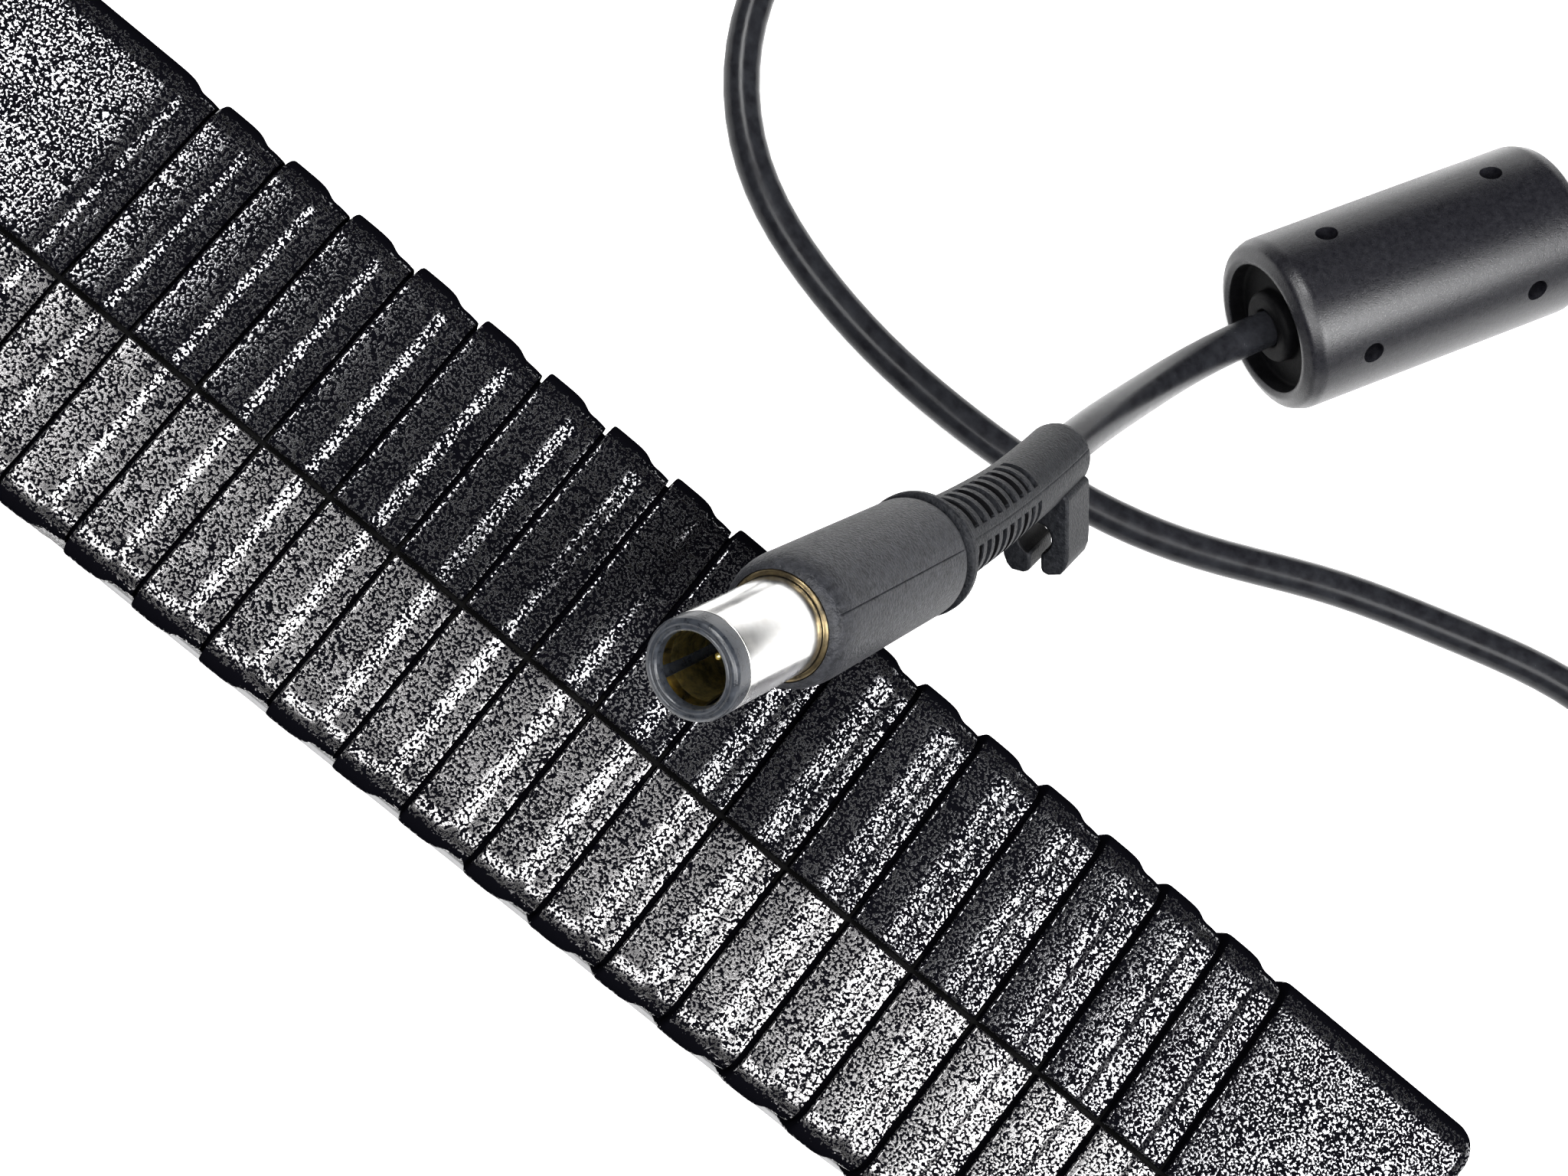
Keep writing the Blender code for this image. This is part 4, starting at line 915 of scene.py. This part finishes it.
def strain_relief():
    """Collar, slotted neck and boss. Four rows of slots leave rails along the parting line
    and between."""
    length = (TAIL - relief_point(0.0)).length
    neck, narrow = 3.55, 2.95
    first, pitch, count, width, depth = 2.2, 1.54, 10, 0.8, 1.2
    after = first + count * pitch
    key = [(0.0, 4.45), (0.08, 4.68), (0.25, 4.8), (0.7, 4.8), (0.92, 4.7), (1.0, 4.5),
           (1.04, neck + 0.25), (1.2, neck + 0.05), (1.5, neck - 0.04), (after, narrow),
           (length - 1.0, BOSS_RADIUS), (length - 0.5, BOSS_RADIUS - 0.12),
           (length - 0.15, BOSS_RADIUS - 0.45), (length, BOSS_RADIUS - 0.9)]
    stops, radii = zip(*key)
    s = np.unique(np.concatenate([np.linspace(0, 2, 34), np.linspace(2, after, 360),
                                  np.linspace(after, length, 60), stops]))
    base = np.interp(s, stops, radii)
    place = (s - first) / pitch
    inside = np.mod(place, 1.0) * pitch
    wall = 0.06
    slot = np.clip(np.minimum(inside, width - inside) / wall + 0.5, 0, 1)
    slot[(place < 0) | (place >= count)] = 0.0
    around = np.linspace(0, 2 * math.pi, 220, endpoint=False)
    near = np.abs(np.mod(around + math.pi / 2, math.pi) - math.pi / 2)
    low, high = math.radians(14), math.radians(78)
    row = np.clip(np.minimum(near - low, high - near) / math.radians(2.5) + 0.5, 0, 1)
    seam = np.exp(-((near * 3.3 / 0.05) ** 2)) * 0.05
    rows = []
    shaded_slot = []
    for at, radius, cut in zip(s, base, slot):
        t = at / length
        axis = relief_axis(t)
        u = (SEAM_AXIS - axis * SEAM_AXIS.dot(axis)).normalized()
        v = axis.cross(u)
        r = radius - depth * cut * row - (seam if at > 1.2 else 0.0)
        shaded_slot.append(cut * row > 0.55)
        ring = np.outer(r * np.cos(around), np.array(u)) + np.outer(r * np.sin(around), np.array(v))
        rows.append(np.array(relief_point(t)) + ring)
    thing = lattice("slotted_strain_relief", rows, RELIEF_SKIN, wrap=True, ends="filled", flat=42.0)
    # Painted shade: the slot walls and bottoms take the near-black paint.
    thing.data.materials.append(RECESS_SHADE)
    shaded_slot = np.concatenate(shaded_slot)
    for face in thing.data.polygons:
        if sum(shaded_slot[v] for v in face.vertices) >= 2 and len(face.vertices) == 4:
            face.material_index = 1
    stand_in(thing, "strain_relief")


def clip():
    """The C-shaped hook, rooted in the boss."""
    half, lip, mouth, tip = 2.9, 1.1, 0.45, 8.6
    hollow, depth, long, seat = 1.4, 5.4, 2.75, 0.87
    side = [(half + 0.02, 1.6), (half + 0.04, 2.6), (half, 4.6), (half + 0.02, 6.2),
            (half - 0.05, 7.2), (half - 0.32, 7.95), (half - 0.75, 8.45), (lip, tip),
            (mouth + 0.12, 8.4), (mouth, 8.0)]
    turn = math.degrees(math.acos(mouth / hollow))
    outline = [(0.0, 0.6), (-1.6, 0.7)] + [(-x, y) for x, y in side]
    outline += arc(0, depth, hollow, 180 - turn, 360 + turn, 30)
    outline += side[::-1] + [(1.6, 0.7)]
    axis = relief_axis(seat)
    hang = (CLIP_HANGS - axis * CLIP_HANGS.dot(axis)).normalized()
    across = hang.cross(axis)
    facing = Matrix((across, hang, axis)).transposed().to_4x4()
    rows = [[(x, y, z) for x, y in outline] for z in (-long, long)]
    thing = lattice("cable_hook", rows, RELIEF_SKIN, wrap=True, ends="filled", flat=35.0)
    # Painted shade: the inside of the hollow takes the near-black paint.
    thing.data.materials.append(RECESS_SHADE)
    for face in thing.data.polygons:
        off = math.hypot(face.center.x, face.center.y - depth * MM)
        if len(face.vertices) == 4 and off < (hollow + 0.05) * MM:
            face.material_index = 1
    thing.matrix_world = Matrix.Translation(relief_point(seat) * MM) @ facing
    mod = thing.modifiers.new("edges", "BEVEL")
    mod.width = 0.3 * MM
    mod.segments = 3
    mod.limit_method = "ANGLE"
    mod.angle_limit = math.radians(50.0)
    stand_in(thing, "cable_clip")


def barrel_and_tip():
    """The plated sleeve, the insulator's lip and bore inside it, and the ring at its root."""
    r, e = BARREL, GRIP_FRONT
    sleeve = [(r - 0.3, -1.75), (r, -1.75), (r, -e - 3.6), (r - 0.3, -e - 3.6)]
    stand_in(turned("barrel_sleeve", sleeve, NICKEL, PLUG, 0.08, 128), "plug_barrel")
    tip = [(2.52, -0.5), (2.58, -0.14), (2.68, -0.03), (2.8, 0.0), (2.88, -0.08), (3.0, -0.08),
           (3.08, 0.0), (3.26, -0.04), (3.42, -0.16), (3.5, -0.42), (3.5, -1.68), (3.2, -1.7),
           (3.1, -1.7), (3.1, -e - 3.4), (2.9, -e - 3.4), (2.9, -0.9), (2.52, -0.8)]
    stand_in(turned("tip_insulator", tip, LINER, PLUG, 0.05, 128), "plug_liner")
    ring = [(r + 0.04, -e + 0.22), (r + 0.2, -e + 0.25), (r + 0.4, -e + 0.15),
            (r + 0.44, -e - 0.6), (r + 0.04, -e - 0.6)]
    stand_in(turned("junction_ring", ring, AGED_BRASS, PLUG, 0.1, 128), "plug_base_ring")


def contact_fingers():
    """The split contact sleeve: four fingers that spring inwards, bevelled at the front."""
    count, thick = 4, 0.18
    spread = math.radians(36)
    bore = []
    for h in np.linspace(-1.15, -GRIP_FRONT - 1.6, 24):
        sprung = 0.22 * math.sin(math.pi * min(1.0, max(0.0, (-1.15 - h) / 7.0)))
        bore.append((2.52 - sprung, h))
    outline = [(2.68, -0.95)] + bore[1:] + [(r + thick, h) for r, h in reversed(bore)]
    n = len(outline)
    form = bmesh.new()
    for k in range(count):
        middle = 2 * math.pi * k / count + math.radians(45)
        sections = []
        for i in range(11):
            a = middle - spread + 2 * spread * i / 10
            x, y = math.cos(a) * MM, math.sin(a) * MM
            sections.append([form.verts.new((r * x, r * y, h * MM)) for r, h in outline])
        for u, v in zip(sections, sections[1:]):
            for i in range(n):
                j = (i + 1) % n
                form.faces.new((u[i], u[j], v[j], v[i]))
        form.faces.new(sections[0])
        form.faces.new(sections[-1])
    bmesh.ops.recalc_face_normals(form, faces=form.faces)
    mesh = bpy.data.meshes.new("contact_fingers")
    form.to_mesh(mesh)
    form.free()
    thing = add("contact_fingers", mesh, GOLD, 40.0)
    # Painted highlight: the front faces, where the lead-in catches the light, take the brighter
    # gold.
    mesh.materials.append(GOLD_EDGE_LIT)
    for face in mesh.polygons:
        if face.center.z > -1.5 * MM:
            face.material_index = 1
    thing.matrix_world = PLUG
    stand_in(thing, "plug_contact_sleeve")


def pin():
    """The centre pin and the insulator that holds it."""
    e = GRIP_FRONT
    base = [(0.55, -e - 1.9), (2.7, -e - 1.9), (2.7, -e - 3.3), (0.55, -e - 3.3)]
    stand_in(turned("pin_insulator", base, LINER, PLUG, 0.08, 64), "plug_pin_base")
    rod = [(0.01, -3.2), (0.25, -3.35), (0.38, -4.0), (0.38, -e - 3.2), (0.01, -e - 3.2)]
    stand_in(turned("signal_pin", rod, GOLD, PLUG, 0.08, 32, solid=True), "plug_centre_pin")


grip()
strain_relief()
clip()
barrel_and_tip()
contact_fingers()
pin()


# ---------------------------------------------------------------- carried-over pieces

SLOTS = {row["node"]: row["material_slot"] for row in frame["record"]["subparts"]}
for node, thing in NODES.items():
    thing.data.materials.clear()
    thing.data.materials.append(SLOT_PAINTS[SLOTS[node]])
    thing.data.shade_smooth()
    thing.data.set_sharp_from_angle(angle=math.radians(32.0))


# ---------------------------------------------------------------- floor, light

def floor():
    """A plain white floor, lifted a little for the camera alone so that it stays pale."""
    form = bmesh.new()
    bmesh.ops.create_grid(form, x_segments=1, y_segments=1, size=3.0)
    mesh = bpy.data.meshes.new("floor")
    form.to_mesh(mesh)
    form.free()
    s = Shader("floor_white", (0.93, 0.93, 0.93), 0.9, Specular_IOR_Level=0.1,
               Emission_Color=(1.0, 1.0, 1.0, 1.0))
    seen = s.node("ShaderNodeLightPath").outputs["Is Camera Ray"]
    s.link(s.math("MULTIPLY", seen, 0.6), s.bsdf.inputs["Emission Strength"])
    thing = add("floor", mesh, s.paint)
    thing.location.z = -0.2 * MM


def softbox(name, place, target, size, power):
    data = bpy.data.lights.new(name, "AREA")
    data.shape = "RECTANGLE"
    data.size, data.size_y = size[0] * MM, size[1] * MM
    data.energy = power
    lamp = bpy.data.objects.new(name, data)
    bpy.context.scene.collection.objects.link(lamp)
    lamp.location = Vector(place) * MM
    lamp.rotation_mode = "QUATERNION"
    lamp.rotation_quaternion = (Vector(target) - Vector(place)).to_track_quat("-Z", "Y")


def lights():
    """Three softboxes over the case. The white surroundings show to the camera alone."""
    world = bpy.data.worlds.new("studio")
    bpy.context.scene.world = world
    world.use_nodes = True
    tree = world.node_tree
    back = tree.nodes["Background"]
    seen = tree.nodes.new("ShaderNodeLightPath")
    level = tree.nodes.new("ShaderNodeMapRange")
    level.inputs["To Min"].default_value = 0.04
    level.inputs["To Max"].default_value = 1.0
    tree.links.new(seen.outputs["Is Camera Ray"], level.inputs["Value"])
    tree.links.new(level.outputs["Result"], back.inputs["Strength"])
    back.inputs["Color"].default_value = (1.0, 1.0, 1.0, 1.0)
    aim = Vector((0.0, 0.0, 52.0))
    for name, toward, far, size, power in (
            ("side_box", (0.66, 0.1, 0.74), 800.0, (400.0, 460.0), 10.0),
            ("top_box", (0.0, -0.42, 0.9), 950.0, (820.0, 420.0), 11.0),
            ("back_box", (-0.46, 0.18, 0.87), 900.0, (260.0, 260.0), 6.0)):
        softbox(name, aim + Vector(toward) * far, aim, size, power)
    bpy.context.scene.view_settings.view_transform = "Standard"


floor()
lights()
